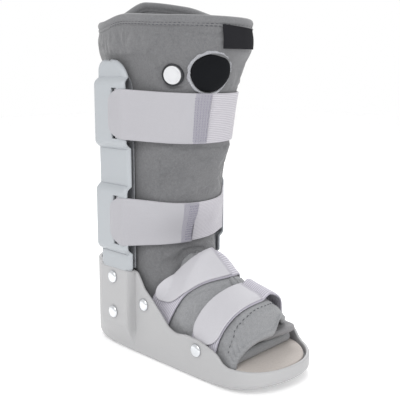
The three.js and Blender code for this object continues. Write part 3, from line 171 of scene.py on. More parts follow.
class Look:
    """One material, with its Principled shader, and the nodes that feed it."""

    def __init__(self, name):
        self.material = bpy.data.materials.new(name)
        self.material.use_nodes = True
        self.tree = self.material.node_tree
        self.shader = self.tree.nodes["Principled BSDF"]
        self.coordinates = self.tree.nodes.new("ShaderNodeTexCoord")

    def node(self, kind, settings, inputs, output=0):
        """Adds a node: its settings first, then the values or links of its sockets."""
        made = self.tree.nodes.new("ShaderNode" + kind)
        for key, value in settings.items():
            setattr(made, key, value)
        for key, value in inputs.items():
            self.feed(made.inputs[key], value)
        return Value(self, made.outputs[output])

    def feed(self, socket, value):
        if isinstance(value, Value):
            self.tree.links.new(value.socket, socket)
        else:
            socket.default_value = value

    def set(self, **inputs):
        """Feeds sockets of the shader, named with _ for a space."""
        for key, value in inputs.items():
            self.feed(self.shader.inputs[key.replace("_", " ")], value)
        return self

    def place(self):
        return Value(self, self.coordinates.outputs["Object"])

    def span(self):
        """The piece's own UV map, which holds hundreds of millimetres along it and across it."""
        return Value(self, self.coordinates.outputs["UV"])

    def part(self, vector, axis):
        """One component of a vector, as a number."""
        return self.node("SeparateXYZ", {}, {0: vector}, output="XYZ".index(axis))

    def stretched(self, vector, scale):
        return self.node("VectorMath", {"operation": "MULTIPLY"}, {0: vector, 1: scale})

    def noise(self, vector, scale, detail=2.0, rough=0.5):
        inputs = {"Vector": vector, "Scale": scale, "Detail": detail, "Roughness": rough}
        return self.node("TexNoise", {}, inputs)

    def blend(self, share, first, second):
        """Colour between two colours by a share."""
        settings = {"data_type": "RGBA"}
        return self.node("Mix", settings, {0: share, 6: first, 7: second}, output=2)

    def bump(self, height, depth):
        """Normal turned by a height from 0 to 1 that stands for a depth in millimetres."""
        return self.node("Bump", {}, {"Height": height, "Distance": depth * MM, "Strength": 1.0})


def grey(red, green, blue):
    """An sRGB colour, 0 to 255, as the linear colour that a shader takes."""
    values = np.array([red, green, blue]) / 255
    linear = np.where(values <= 0.04045, values / 12.92, ((values + 0.055) / 1.055) ** 2.4)
    return tuple(float(v) for v in linear) + (1.0,)


# %% [markdown]
# ## Plastic
# The shell and uprights are injection moulded. Moulded plastic is one colour with a faint cloudy
# tone, a fine pebbled grain from the mould and slightly uneven gloss. Scuffs gather low down.


# %% Moulded plastic
def moulded(name, colour, worn, roughness):
    look = Look(name)
    place = look.place()
    clouds = look.noise(place, 22.0, 3.0)
    grain = look.noise(place, 2600.0, 1.0)
    scuffs = look.noise(look.stretched(place, (90.0, 25.0, 260.0)), 6.0, 4.0).above(0.6, 0.16)
    height = look.part(place, "Z")
    low = 1 - height.above(0.0, 0.035)
    look.set(
        Base_Color=look.blend(clouds * 0.35 + scuffs * low * 0.5, colour, worn),
        Roughness=roughness + clouds * 0.12 + scuffs * 0.08,
        Normal=look.bump(grain, 0.03),
        Specular_IOR_Level=0.42,
    )
    return look.material


SHELL_PLASTIC = moulded("shell_plastic", grey(177, 177, 178), grey(164, 164, 166), 0.42)
UPRIGHT_PLASTIC = moulded("upright_plastic", grey(173, 177, 181), grey(162, 167, 172), 0.36)
print("plastics:", SHELL_PLASTIC.name, UPRIGHT_PLASTIC.name)


# %% [markdown]
# ## Fabric
# The liner is brushed loop fabric over foam: a felt of short fibres, slightly mottled, with no
# shine but a soft sheen at its edges. The webbing is woven with ribs that run along it. The tabs
# are a smoother tape. Ribs and stitches follow the strap, so they read its UV map.


# %% Felt, webbing and tape
DULL = 0.2


def felt(name, colour, dark, depth=0.35):
    look = Look(name)
    place = look.place()
    fibres = look.noise(look.stretched(place, (1.0, 1.0, 0.55)), 1700.0, 4.0, 0.7)
    tufts = look.noise(place, 520.0, 3.0)
    blotches = look.noise(place, 26.0, 2.0)
    mottle = (fibres * 0.75 + tufts * 0.3 + blotches * 0.2).above(0.25, 0.75)
    look.set(
        Base_Color=look.blend(mottle, dark, colour),
        Roughness=0.96,
        Normal=look.bump(fibres * 0.5 + tufts * 0.5, depth),
        Sheen_Weight=0.25,
        Sheen_Roughness=0.6,
        Specular_IOR_Level=DULL,
    )
    return look.material


def webbing(name, colour, dark, pitch=1.45):
    """Ribs along the strap, crossed by fine weft threads. Both follow the UV map."""
    look = Look(name)
    along, across = look.part(look.span(), "X") * 100.0, look.part(look.span(), "Y") * 100.0
    ribs = (across * (2 * np.pi / pitch)).sine() * 0.5 + 0.5
    weft = (along * (2 * np.pi / 0.75)).sine() * 0.5 + 0.5
    fuzz = look.noise(look.place(), 1300.0, 3.0, 0.6)
    tone = (ribs * 0.5 + weft * 0.2 + fuzz * 0.45).above(0.2, 0.8)
    look.set(
        Base_Color=look.blend(tone, dark, colour),
        Roughness=0.86,
        Normal=look.bump(ribs * 0.6 + weft * 0.2 + fuzz * 0.3, 0.22),
        Sheen_Weight=0.2,
    )
    return look.material


def tape(name, colour, seam, sewn_length):
    """Smooth tape whose end is sewn down: crossed rows of thread over the last millimetres."""
    look = Look(name)
    along, across = look.part(look.span(), "X") * 100.0, look.part(look.span(), "Y") * 100.0
    fine = look.noise(look.place(), 1100.0, 3.0, 0.6)
    cloudy = look.noise(look.place(), 45.0, 2.0)
    waves = (along * (2 * np.pi / 1.7)).sine() * (across * (2 * np.pi / 1.5)).sine()
    rows = waves.above(-0.1, 0.5)
    sewn = 1 - along.above(sewn_length, 0.4)
    shade = tuple(0.84 * c for c in colour[:3]) + (1.0,)
    plain = look.blend(fine * 0.5 + cloudy * 0.25, colour, shade)
    look.set(
        Base_Color=look.blend(sewn * (0.3 + rows * 0.6), plain, seam),
        Roughness=0.72 + fine * 0.12,
        Normal=look.bump(fine * 0.3 + sewn * rows * 0.7, 0.3),
        Sheen_Weight=0.15,
    )
    return look.material


LEG_FELT = felt("leg_felt", grey(122, 122, 124), grey(89, 90, 92))
RIM_FELT = felt("rim_felt", grey(127, 127, 129), grey(95, 96, 98), 0.25)
FOOT_FELT = felt("foot_felt", grey(156, 157, 159), grey(122, 123, 126), 0.3)
# The under flap's felt is a darker grey than the foot's felt: painted shade inside the toe, under the
# foot's front.
SHADED_FLAP_FELT = felt("flap_felt_painted_shade", grey(140, 139, 141), grey(106, 106, 108), 0.3)
STRAP_WEBBING = webbing("strap_webbing", grey(204, 202, 207), grey(166, 163, 171))
ANCHOR_WEBBING = webbing("anchor_webbing", grey(204, 202, 210), grey(158, 155, 166), 1.9)
FOOTBED_FELT = felt("footbed_felt", grey(188, 181, 175), grey(162, 154, 149), 0.12)
print("fabrics made")


# %% [markdown]
# ## Rubber, metal and the small parts
# The bulb is black rubber with a dull bloom. The rivets are bright zinc with fine turning marks.
# The valve's button is white, its ring black, and the tag is black and left blank.


# %% Rubber, zinc, valve and tag
def simple(name, colour, worn, roughness, metallic=0.0, grain=900.0, depth=0.05, shine=0.5):
    look = Look(name)
    place = look.place()
    fine = look.noise(place, grain, 2.0)
    soft = look.noise(place, 60.0, 2.0)
    look.set(
        Base_Color=look.blend(soft, colour, worn),
        Roughness=roughness + fine * 0.14,
        Metallic=metallic,
        Normal=look.bump(fine, depth),
        Specular_IOR_Level=shine,
    )
    return look.material


BULB_RUBBER = simple("bulb_rubber", grey(9, 10, 14), grey(14, 16, 20), 0.85, shine=DULL)
RIVET_ZINC = simple("rivet_zinc", grey(238, 240, 242), grey(205, 208, 212), 0.16, 1.0, 400.0, 0.03)
VALVE_BLACK = simple("valve_black", grey(30, 31, 34), grey(42, 43, 47), 0.4)
VALVE_WHITE = simple("valve_white", grey(209, 210, 212), grey(200, 201, 203), 0.3)
TAG_BLACK = simple("tag_black", grey(22, 22, 25), grey(32, 32, 36), 0.8, 0.0, 1600.0, 0.1, DULL)
EDGING_TRIM = felt("edging_trim", grey(186, 187, 192), grey(120, 121, 127), 0.4)
BACKING_TAPE = felt("backing_tape", grey(150, 152, 156), grey(100, 102, 107), 0.2)
VIOLET_THREAD = simple("violet_thread", grey(142, 139, 156), grey(122, 119, 138), 0.75, shine=DULL)
DARK_THREAD = simple("dark_thread", grey(84, 85, 90), grey(66, 67, 72), 0.8, shine=DULL)


# %% [markdown]
# ## From arrays to meshes
# Every surface below is a grid of points worked out with numpy: rows by columns by XYZ, in mm. The
# faces come from the grid's own indices. A grid can close on itself either way, and a point row at
# the end closes a pole.


# %% Grids to meshes
CLOSED = {"wrap_rows": True, "wrap_columns": True}
MERGE_DISTANCE, LEAST_EDGE = 0.004, 0.002


def grid_mesh(name, points, wrap_rows=False, wrap_columns=False, span=None, keep=None):
    """Quads between neighbours of a grid. keep is a mask of the quads that stay."""
    rows, columns = points.shape[:2]
    index = np.arange(rows * columns).reshape(rows, columns)
    if wrap_rows:
        index = np.vstack([index, index[:1]])
    if wrap_columns:
        index = np.hstack([index, index[:, :1]])
    quads = np.stack([index[:-1, :-1], index[:-1, 1:], index[1:, 1:], index[1:, :-1]], axis=-1)
    if keep is not None:
        quads = quads[keep]
    quads = quads.reshape(-1, 4)
    mesh = bpy.data.meshes.new(name)
    mesh.from_pydata((points.reshape(-1, 3) * MM).tolist(), [], quads.tolist())
    if span is not None:
        layer = mesh.uv_layers.new(name="span")
        corners = np.zeros(len(mesh.loops), dtype=np.int32)
        mesh.loops.foreach_get("vertex_index", corners)
        layer.data.foreach_set("uv", (span.reshape(-1, 2)[corners] / 100).ravel())
    mesh.update()
    return mesh


def tidy_mesh(mesh, outward=True):
    """Merges doubled points, drops faces without area, turns normals outward and smooths."""
    work = bmesh.new()
    work.from_mesh(mesh)
    bmesh.ops.remove_doubles(work, verts=work.verts, dist=MERGE_DISTANCE * MM)
    bmesh.ops.dissolve_degenerate(work, edges=work.edges, dist=LEAST_EDGE * MM)
    if outward:
        bmesh.ops.recalc_face_normals(work, faces=work.faces)
    work.to_mesh(mesh)
    work.free()
    mesh.polygons.foreach_set("use_smooth", np.ones(len(mesh.polygons), dtype=bool))
    mesh.update()


def grid_piece(name, points, material, slot, replaces=(), body="boot", outward=True, **layout):
    """Makes a piece from a grid and says which solids it stands for."""
    mesh = grid_mesh(name, points, **layout)
    tidy_mesh(mesh, outward)
    piece = bpy.data.objects.new(name, mesh)
    bpy.context.scene.collection.objects.link(piece)
    mesh.materials.append(material)
    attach(piece, body)
    if replaces:
        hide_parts(*replaces)
    print(name, len(mesh.polygons), "faces")
    return piece


def stitch_row(name, path, out, stitch, gap, radius, material, slot):
    """A row of stitches along a path: each a short thread that dips in at both ends."""
    steps = np.linalg.norm(np.diff(path, axis=0), axis=1)
    at = np.concatenate([[0], np.cumsum(steps)])
    starts = np.arange(gap, at[-1] - stitch, stitch + gap)[:, None]
    share = np.array([0.0, 0.1, 0.32, 0.68, 0.9, 1.0])
    thick = radius * np.array([0.0, 0.7, 1.0, 1.0, 0.7, 0.0])
    dip = radius * np.array([-0.9, -0.3, 0.3, 0.3, -0.3, -0.9])

    def read(values, places):
        return np.stack([np.interp(places, at, values[:, i]) for i in range(3)], axis=-1)

    places = starts + share * stitch
    ahead = read(path, places + 0.2) - read(path, places - 0.2)
    ahead = ahead / np.linalg.norm(ahead, axis=-1, keepdims=True)
    outward = read(out, places)
    outward = outward / np.linalg.norm(outward, axis=-1, keepdims=True)
    sideways = np.cross(outward, ahead)
    angle = np.linspace(0, 2 * np.pi, 6, endpoint=False)[:, None]
    ring = np.cos(angle) * sideways[..., None, :] + np.sin(angle) * outward[..., None, :]
    middle = read(path, places) + dip[:, None] * outward
    points = (middle[..., None, :] + thick[:, None, None] * ring).reshape(-1, 6, 3)
    keep = np.ones((len(points) - 1, 6), dtype=bool)
    keep[len(share) - 1 :: len(share)] = False
    grid_piece(name, points, material, slot, wrap_columns=True, keep=keep)


def smooth_step(low, high, at):
    """0 at low and 1 at high, with a smooth rise between them."""
    share = np.clip((at - low) / (high - low), 0, 1)
    return share * share * (3 - 2 * share)


def curve(table, at):
    """Smooth value of a table of (place, value) rows, by cubics that never overshoot them."""
    table = np.array(table, dtype=float)
    xs, ys = table[:, 0], table[:, 1]
    steps = np.diff(xs)
    slopes = np.diff(ys) / steps
    tilt = np.zeros(len(xs))
    both = slopes[:-1] * slopes[1:] > 0
    sums = np.where(both, slopes[:-1] + slopes[1:], 1)
    tilt[1:-1] = np.where(both, 2 * slopes[:-1] * slopes[1:] / sums, 0)
    at = np.clip(at, xs[0], xs[-1])
    i = np.clip(np.searchsorted(xs, at, side="right") - 1, 0, len(xs) - 2)
    t = (at - xs[i]) / steps[i]
    start = ys[i] * (1 + 2 * t) * (1 - t) ** 2 + tilt[i] * steps[i] * t * (1 - t) ** 2
    end = ys[i + 1] * t * t * (3 - 2 * t) + tilt[i + 1] * steps[i] * t * t * (t - 1)
    return start + end


# %% [markdown]
# ## The leg of the liner
# The leg is a soft tube. In plan it is a superellipse, |x/a|^n + |y/b|^n = 1, wider behind its axis
# than ahead of it. A short table gives its width and depths by height, as in the solid model.

# %% Shape of the leg
SOLE_LENGTH, SOLE_HALF_WIDTH, TOE_SWING = 212.0, 45.5, 6.0
HALF_SOLE = SOLE_LENGTH / 2
BOOT_HEIGHT, LEG_AXIS_Y, LEG_HALF_WIDTH = 290.0, 34.0, 49.0
CALF_FRONT, CALF_BACK, LEG_POWER, LINER_THICKNESS = 73.0, 65.0, 2.3, 6.0
LINER_BOTTOM, LINER_SOLE_TOP = 17.1, 25.1
# Each row: height, half width, depth ahead of the axis and depth behind it, as shares.
LEG_SECTIONS = np.array(
    [
        [0.055, 0.79, 0.62, 0.97],
        [0.2, 0.8, 0.6, 0.95],
        [0.27, 0.84, 0.38, 0.88],
        [0.33, 0.865, 0.32, 0.855],
        [0.415, 0.87, 0.45, 0.85],
        [0.49, 0.875, 0.53, 0.86],
        [0.55, 0.88, 0.62, 0.89],
        [0.605, 0.885, 0.66, 0.93],
        [0.69, 0.885, 0.73, 0.97],
        [0.76, 0.89, 0.82, 0.98],
        [0.815, 0.895, 0.91, 1.02],
        [0.845, 0.965, 0.97, 1.03],
        [0.885, 1.0, 1.0, 1.02],
        [1.0, 1.0, 1.0, 1.0],
    ]
)
# Each pair: degrees round from the near side by the front, share of the boot's height.
RIM_EDGE = [(-40, 0.93), (0, 0.945), (45, 0.937), (90, 0.932), (135, 0.93), (180, 0.955)]
RIM_EDGE += [(215, 0.985), (250, 1.0), (272, 0.96), (288, 0.938), (320, 0.93)]


def leg_section(z):
    """Half width of the leg at a height, and its depths ahead of its axis and behind it."""
    sizes = (LEG_HALF_WIDTH, CALF_FRONT, CALF_BACK)
    shares = [curve(LEG_SECTIONS[:, [0, column]], z / BOOT_HEIGHT) for column in (1, 2, 3)]
    return [size * share for size, share in zip(sizes, shares)]


def leg_radius(turn, z):
    """Distance of the leg's surface from its axis, in a direction turned from the near side."""
    wide, ahead, behind = leg_section(z)
    across = np.abs(np.cos(np.radians(turn)))
    along = np.sin(np.radians(turn))
    depth = np.where(along > 0, ahead, behind)
    return ((across / wide) ** LEG_POWER + (np.abs(along) / depth) ** LEG_POWER) ** (-1 / LEG_POWER)


def round_leg(turn, radius, z):
    """Point at a distance from the leg's axis, in a direction turned from the near side."""
    angle = np.radians(turn)
    x = -radius * np.cos(angle)
    y = LEG_AXIS_Y - radius * np.sin(angle)
    return np.stack(np.broadcast_arrays(x, y, z), axis=-1)


def rim_top(turn):
    return BOOT_HEIGHT * curve(RIM_EDGE, np.where(turn > 320, turn - 360, turn))


print("leg at the rim:", leg_radius(np.array([0.0, 90.0, 270.0]), 262.0).round(1))

# %% [markdown]
# ## The foot of the liner
# The foot is a dome over the sole. Its cross section is half a superellipse whose top follows a
# table from toe to heel. `arch` runs over the dome from 0 at the near edge to 180 at the far one.

# %% Shape of the foot
FOOT_HALF_WIDTH, FOOT_FAR_TUCK, FOOT_HEIGHT, FOOT_WALL = 39.0, 7.0, 80.0, 5.0
ANKLE_TOP_Y, FOREFOOT_TOP_Y, TOE_TURN = -25.0, -58.0, 48.0
# Each pair: share of half the sole's length, share of the foot's height.
FOOT_TOP = [(-0.74, 0.24), (-0.69, 0.43), (-0.64, 0.5), (-0.54, 0.53), (-0.42, 0.575)]
FOOT_TOP += [(-0.34, 0.65), (-0.22, 0.77), (-0.13, 0.85), (-0.06, 0.845), (0.05, 0.82), (0.45, 0.8)]


def toe_swing(y):
    """Lean of the toe's outline towards the near side."""
    return NEAR * TOE_SWING * smooth_step(HALF_SOLE - TOE_TURN, HALF_SOLE, -y)


def dome_power(y):
    """Power of the dome's cross section: boxier at the forefoot than at the ankle."""
    return 1.75 + 0.3 * smooth_step(-ANKLE_TOP_Y, -FOREFOOT_TOP_Y, -y)


def foot_point(arch, y, lift):
    """Point on the foot's dome, lifted off it."""
    power = 2 / dome_power(y)
    across = np.cos(np.radians(arch))
    rise = np.maximum(np.sin(np.radians(arch)), 0)
    tucked = smooth_step(0, -FOREFOOT_TOP_Y, -y) * smooth_step(0.1, 0.6, rise)
    width = FOOT_HALF_WIDTH - FOOT_FAR_TUCK * np.where(across < 0, tucked, 0) + lift
    height = FOOT_HEIGHT * curve(FOOT_TOP, y / HALF_SOLE) + lift
    x = -np.sign(across) * width * np.abs(across) ** power + toe_swing(y)
    return np.stack(np.broadcast_arrays(x, y, LINER_BOTTOM + height * rise**power), axis=-1)


def dome_height(x, y, lift):
    """Height of the foot's dome over a place: its cross section solved for z."""
    power = dome_power(y)
    top = FOOT_HEIGHT * curve(FOOT_TOP, y / HALF_SOLE) + lift
    share = np.clip(np.abs(x) / (FOOT_HALF_WIDTH + lift), 0, 1)
    return LINER_BOTTOM + top * (1 - share**power) ** (1 / power)


# %% [markdown]
# ## Padding by cloth simulation
# Foam under fabric swells where nothing holds it. Blender's Cloth does that: the wall's outer
# surface is a cloth with a little pressure behind it, pinned where straps, uprights and seams hold
# it, and its movement is capped so that the piece keeps its size.


# %% Swell a surface with Cloth
def swell(points, held, pressure, cap, wrap_columns, frames=16):
    """The grid after a short cloth simulation. held is 1 where the surface can't move."""
    mesh = grid_mesh("cloth_trial", points, wrap_columns=wrap_columns)
    cloth_object = bpy.data.objects.new("cloth_trial", mesh)
    bpy.context.scene.collection.objects.link(cloth_object)
    group = cloth_object.vertex_groups.new(name="held")
    weights = np.clip(held, 0, 1).ravel().round(1)
    for weight in np.unique(weights):
        group.add(np.flatnonzero(weights == weight).tolist(), float(weight), "REPLACE")
    settings = cloth_object.modifiers.new("Cloth", "CLOTH").settings
    settings.vertex_group_mass = "held"
    settings.use_pressure = True
    settings.uniform_pressure_force = pressure
    settings.effector_weights.gravity = 0
    settings.tension_stiffness = 5
    settings.compression_stiffness = 5
    settings.bending_stiffness = 0.2
    settings.shrink_min = -0.03
    scene = bpy.context.scene
    for step in range(1, frames + 1):
        scene.frame_set(step)
    after = cloth_object.evaluated_get(bpy.context.evaluated_depsgraph_get())
    flat = np.zeros(points.size, dtype=np.float32)
    after.data.vertices.foreach_get("co", flat)
    moved = flat.reshape(points.shape) / MM - points
    scene.frame_set(1)
    bpy.data.objects.remove(cloth_object)
    length = np.linalg.norm(moved, axis=-1, keepdims=True)
    print("cloth moved", length.mean().round(2), "mm on average, most", length.max().round(2))
    return points + moved * np.minimum(1, cap / np.maximum(length, 1e-6))


# %% [markdown]
# ## Where the straps run
# A strap drawn tight round the leg and the uprights' pads takes the shortest way: the convex hull
# of their outline in plan. The hull's distance in a direction is the least of h(p) / cos(p - t)
# over all normals p, where h is the outline's reach along a normal (its support function).

# %% Straps and the bed they lie on
UPRIGHT_OUTER_X, PAD_RAISE = 49.0, 4.5
PAD_OUTER_X = UPRIGHT_OUTER_X + PAD_RAISE
UPRIGHT_FRONT_Y, UPRIGHT_BACK_Y = 29.0, 64.0
SLOT_FRONT_Y, SLOT_BACK_Y = 35.0, 42.0
STRAP_HALF_WIDTH, STRAP_THICKNESS, TAB_THICKNESS = 19.5, 1.8, 1.5
UPPER_STRAP_Z, LOWER_STRAP_Z, STRAP_DROP = 197.5, 112.5, 3.5
SEAT_GAP, STRAP_BOW = 0.3, 0.35
HULL_NORMALS = np.radians(np.arange(0, 360, 2.0))


def tight_radius(turn, z):
    """Distance from the leg's axis to the hull of the leg and the pads, in plan at each height."""
    turns = np.arange(0, 360, 5.0)[:, None]
    heights = np.atleast_1d(z).ravel()
    radius = leg_radius(turns, heights[None, :])
    pad_ends = (UPRIGHT_FRONT_Y, UPRIGHT_BACK_Y)
    pads = [(side * PAD_OUTER_X, y) for side in (NEAR, FAR) for y in pad_ends]
    pads = np.repeat(np.array(pads)[:, :, None], len(heights), axis=2)
    xs = np.vstack([-radius * np.cos(np.radians(turns)), pads[:, 0]])
    ys = np.vstack([-radius * np.sin(np.radians(turns)), pads[:, 1] - LEG_AXIS_Y])
    normal = np.stack([-np.cos(HULL_NORMALS), -np.sin(HULL_NORMALS)])
    reach = (normal[0][:, None, None] * xs + normal[1][:, None, None] * ys).max(axis=1)
    angle = np.radians(np.broadcast_to(turn, np.shape(z)).ravel())
    facing = np.cos(angle[None, :] - HULL_NORMALS[:, None])
    distance = np.where(facing > 0.05, reach / np.maximum(facing, 0.05), np.inf)
    return distance.min(axis=0).reshape(np.shape(z))


def pad_turn(y):
    """Direction from the leg's axis to a place on a pad's face."""
    return np.degrees(np.arctan2(LEG_AXIS_Y - y, PAD_OUTER_X))


def band_ring(half_width, thickness, across_steps=26, edge_steps=5):
    """Cross section of a flat band as (across, lift): flat faces and half-round edges."""
    radius = thickness / 2
    bend = np.linspace(np.pi / 2, -np.pi / 2, edge_steps + 2)[1:-1]
    flat_reach = np.maximum(half_width - radius, 0)[:, None]
    top = flat_reach * np.linspace(-1, 1, across_steps)
    right_edge = flat_reach + radius * np.cos(bend)
    across = np.concatenate([top, right_edge, top[:, ::-1], -right_edge[:, ::-1]], axis=1)
    edge_lift = radius + radius * np.sin(bend)
    flat = np.ones(across_steps)
    lift = np.concatenate([thickness * flat, edge_lift, 0 * flat, edge_lift[::-1]])
    return across, np.broadcast_to(lift, across.shape)


def band_piece(strap, kind, place, stations, half_width, thickness, material):
    """Sweeps a band's section along its stations and closes both ends with a shrunken ring.

    Its UV map holds the distance from its last station, and the place across it. Its kind is
    webbing, which stands for the strap's own solid, or tape, which stands for that of its tab.
    """
    across, lift = band_ring(half_width, thickness)
    points = place(stations[:, None] + 0 * across, across, lift)
    first, last = points[:1].mean(axis=1), points[-1:].mean(axis=1)
    ends = [np.repeat(end[:, None, :], points.shape[1], axis=1) for end in (first, last)]
    grid = np.concatenate([ends[0], points, ends[1]], axis=0)
    middle = points[:, : across.shape[1] // 2].mean(axis=1)
    steps = np.linalg.norm(np.diff(middle, axis=0), axis=1)
    along = steps.sum() - np.concatenate([[0], [0], np.cumsum(steps), [steps.sum()]])
    sideways = np.concatenate([across[:1], across, across[-1:]])
    span = np.stack([along[:, None] + 0 * sideways, sideways], axis=-1)
    slot, node = {"webbing": ("webbing", strap), "tape": ("tab", strap + "_tab")}[kind]
    name = f"{strap}_{kind}"
    grid_piece(name, grid, material, slot, [node], wrap_columns=True, span=span)


def rounded_tab(tip, full, blunt, end_steps, run):
    """Stations along a tab from its rounded tip on, and the share of its width at each."""
    quarter = np.linspace(0, np.pi / 2, end_steps)
    stations = np.concatenate([tip + (full - tip) * (1 - np.cos(quarter)), run])
    return stations, np.concatenate([blunt + (1 - blunt) * np.sin(quarter), np.ones(len(run))])


# %% [markdown]
# ## Leg straps
# Each leg strap is ribbed webbing from slot to slot. A smooth tab, sewn to it in front by rows of
# thread, lies over it and past the near slot, and settles on the upright's pad at its rounded end.

# %% Leg straps
TAB_TIP_Y, TAB_FULL_Y, TAB_SETTLED_Y, TAB_LIFTED_Y = 48.6, 27.5, 49.5, 41.0
TAB_GAP, SLOT_REACH = 0.25, 2.6
SEAM_ROWS, SEAM_PITCH, SEAM_MARGIN, SEAM_HALF_LENGTH = 6, 2.35, 1.2, 18.3


def leg_strap_place(middle_z, taper, over=0.0):
    """Place on a leg strap: tight over its bed, dropping to the front and a little bowed there."""

    def place(turn, across, lift):
        front = np.maximum(np.sin(np.radians(turn)), 0)
        narrow = 1 - taper * front / STRAP_HALF_WIDTH
        z = middle_z - STRAP_DROP * front + across * narrow
        bow = STRAP_BOW * np.cos(np.pi * across / (2 * STRAP_HALF_WIDTH)) * front
        stand = over * smooth_step(pad_turn(TAB_SETTLED_Y), pad_turn(TAB_LIFTED_Y), turn)
        return round_leg(turn, tight_radius(turn, z) + SEAT_GAP + stand + bow + lift, z)

    return place


def leg_strap(name, middle_z, taper, seam_turn):
    """One leg strap: its webbing, its tab and the stitches of the seam between them."""
    near_end = pad_turn(SLOT_FRONT_Y + SLOT_REACH)
    corner = pad_turn(UPRIGHT_FRONT_Y)
    round_front = np.linspace(corner, 180 - corner, 120)
    stations = np.concatenate([[near_end], round_front, [180 - near_end]])
    half = np.full(len(stations), STRAP_HALF_WIDTH)
    bed = leg_strap_place(middle_z, taper)
    band_piece(name, "webbing", bed, stations, half, STRAP_THICKNESS, STRAP_WEBBING)

    place = leg_strap_place(middle_z, taper, STRAP_THICKNESS + TAB_GAP)
    run = np.linspace(pad_turn(TAB_FULL_Y - 0.3), seam_turn, 70)
    stations, widths = rounded_tab(pad_turn(TAB_TIP_Y), pad_turn(TAB_FULL_Y), 0.06, 30, run)
    look = tape(name + "_tape", grey(174, 173, 178), grey(142, 139, 154), 12.5)
    band_piece(name, "tape", place, stations, STRAP_HALF_WIDTH * widths, TAB_THICKNESS, look)

    across = np.linspace(-SEAM_HALF_LENGTH, SEAM_HALF_LENGTH, 60)
    for row in range(SEAM_ROWS):
        turn = seam_turn - SEAM_MARGIN - row * SEAM_PITCH + 0 * across
        path = place(turn, across, TAB_THICKNESS + 0.05)
        out = path - place(turn, across, 0.0)
        stitch_row(f"{name}_stitches_{row}", path, out, 1.5, 0.7, 0.22, VIOLET_THREAD, "tab")


leg_strap("leg_strap_upper", UPPER_STRAP_Z, 0.0, 80.0)
leg_strap("leg_strap_lower", LOWER_STRAP_Z, 2.5, 84.0)

# %% [markdown]
# ## Foot straps
# The two foot straps cross the dome and lean back to their anchors inside the shell. The webbing
# of the forefoot strap stands a little proud on the far side, where it is loose.

# %% Foot straps
FOOT_STRAP_HALF, FOOT_STRAP_THICKNESS, FOOT_TAB_THICKNESS, FOOT_STRAP_LIFT = 14.0, 1.6, 1.4, 1.3
FOOT_STRAP_WAIST, FOOT_TAB_GAP, FOOT_TAB_ROUNDING, FOOT_SEAM = 0.16, 0.5, 14.0, 92.0
# Each row: name, place over the top, place at the sides, first arch, tab's first arch, slack.
FOOT_STRAPS = (
    ("ankle_strap", ANKLE_TOP_Y, 10.0, 10.0, 30.0, 0.0),
    ("forefoot_strap", FOREFOOT_TOP_Y, -47.0, 8.0, 14.0, 5.0),
)


def strap_line(arch, top_y, side_y):
    """Middle line of a foot strap over the dome."""
    return top_y + (side_y - top_y) * np.abs(np.cos(np.radians(arch))) ** 2


def leg_half_width(y, z):
    """Half width of the leg at a place along the foot, or 0 in front of the leg."""
    wide, ahead, _ = leg_section(z)
    share = np.abs((LEG_AXIS_Y - y) / ahead)
    return np.where(share > 1, 0, wide * np.maximum(1 - share**LEG_POWER, 0) ** (1 / LEG_POWER))


def wrap_point(arch, y, lift):
    """Point on the foot or, where the leg is wider, on the leg."""
    point = foot_point(arch, y, lift)
    side = leg_half_width(y, point[..., 2])
    leg = side + lift + 0.6
    beyond = (np.abs(point[..., 0]) < leg) & (side > 0)
    point[..., 0] = np.where(beyond, np.sign(point[..., 0]) * leg, point[..., 0])
    return point


def foot_strap_place(top_y, side_y, slack, base_lift):
    """Place on a foot strap: over the dome, narrower at the top, with slack on the far side."""

    def place(arch, across, lift):
        width = 1 - FOOT_STRAP_WAIST * (1 - np.abs(np.cos(np.radians(arch))))
        loose = slack * smooth_step(90, 106, arch) * (1 - smooth_step(128, 158, arch))
        y = strap_line(arch, top_y, side_y) + across * width
        return wrap_point(arch, y, base_lift + loose + lift)

    return place


for name, top_y, side_y, first, tab_from, slack in FOOT_STRAPS:
    bed = foot_strap_place(top_y, side_y, slack, FOOT_STRAP_LIFT)
    stations = np.linspace(first, 180 - first, 130)
    half = np.full(len(stations), FOOT_STRAP_HALF)
    band_piece(name, "webbing", bed, stations, half, FOOT_STRAP_THICKNESS, ANCHOR_WEBBING)

    over = FOOT_STRAP_LIFT + FOOT_STRAP_THICKNESS + FOOT_TAB_GAP
    bed = foot_strap_place(top_y, side_y, slack, over)
    full = tab_from + FOOT_TAB_ROUNDING
    stations, widths = rounded_tab(tab_from, full, 0.25, 24, np.linspace(full + 0.5, FOOT_SEAM, 60))
    look = tape(name + "_tape", grey(193, 192, 197), grey(170, 167, 178), 2.4)
    band_piece(name, "tape", bed, stations, FOOT_STRAP_HALF * widths, FOOT_TAB_THICKNESS, look)

# %% [markdown]
# ## The padded leg
# The leg's wall is one closed surface: the outside from the bottom up, over the rim's edge, and
# the inside back down. In front, its bottom edge follows the foot's dome, so that the foot's
# hollow stays open. Straps, pads and seams hold the wall still, and soft waves and the creases
# of a bent ankle are added in between.

# %% Leg wall
LEG_COLUMNS, LEG_ROWS, INNER_ROWS, RIM_HEIGHT = 200, 190, 60, 8.0
LEG_ROUND, CREASE_Z, CREASE_REACH, PAD_TOP_Z = 48, 84, 14, 243
random = np.random.default_rng(7)


def leg_bottom(turn):
    """Bottom edge of the leg's wall: the floor of the liner, or the dome where the foot is."""
    z = np.full(np.shape(turn), 60.0)
    for _ in range(4):
        point = round_leg(turn, leg_radius(turn, z) - LINER_THICKNESS / 2, z)
        inside = smooth_step(30.0, 24.0, point[..., 1])
        dome = dome_height(point[..., 0] * 1.02, point[..., 1], -4.0)
        z = np.where(point[..., 1] < 28.0, np.maximum(dome, LINER_BOTTOM), LINER_BOTTOM)
        z = np.maximum(z * inside + LINER_BOTTOM * (1 - inside), LINER_BOTTOM)
    return z


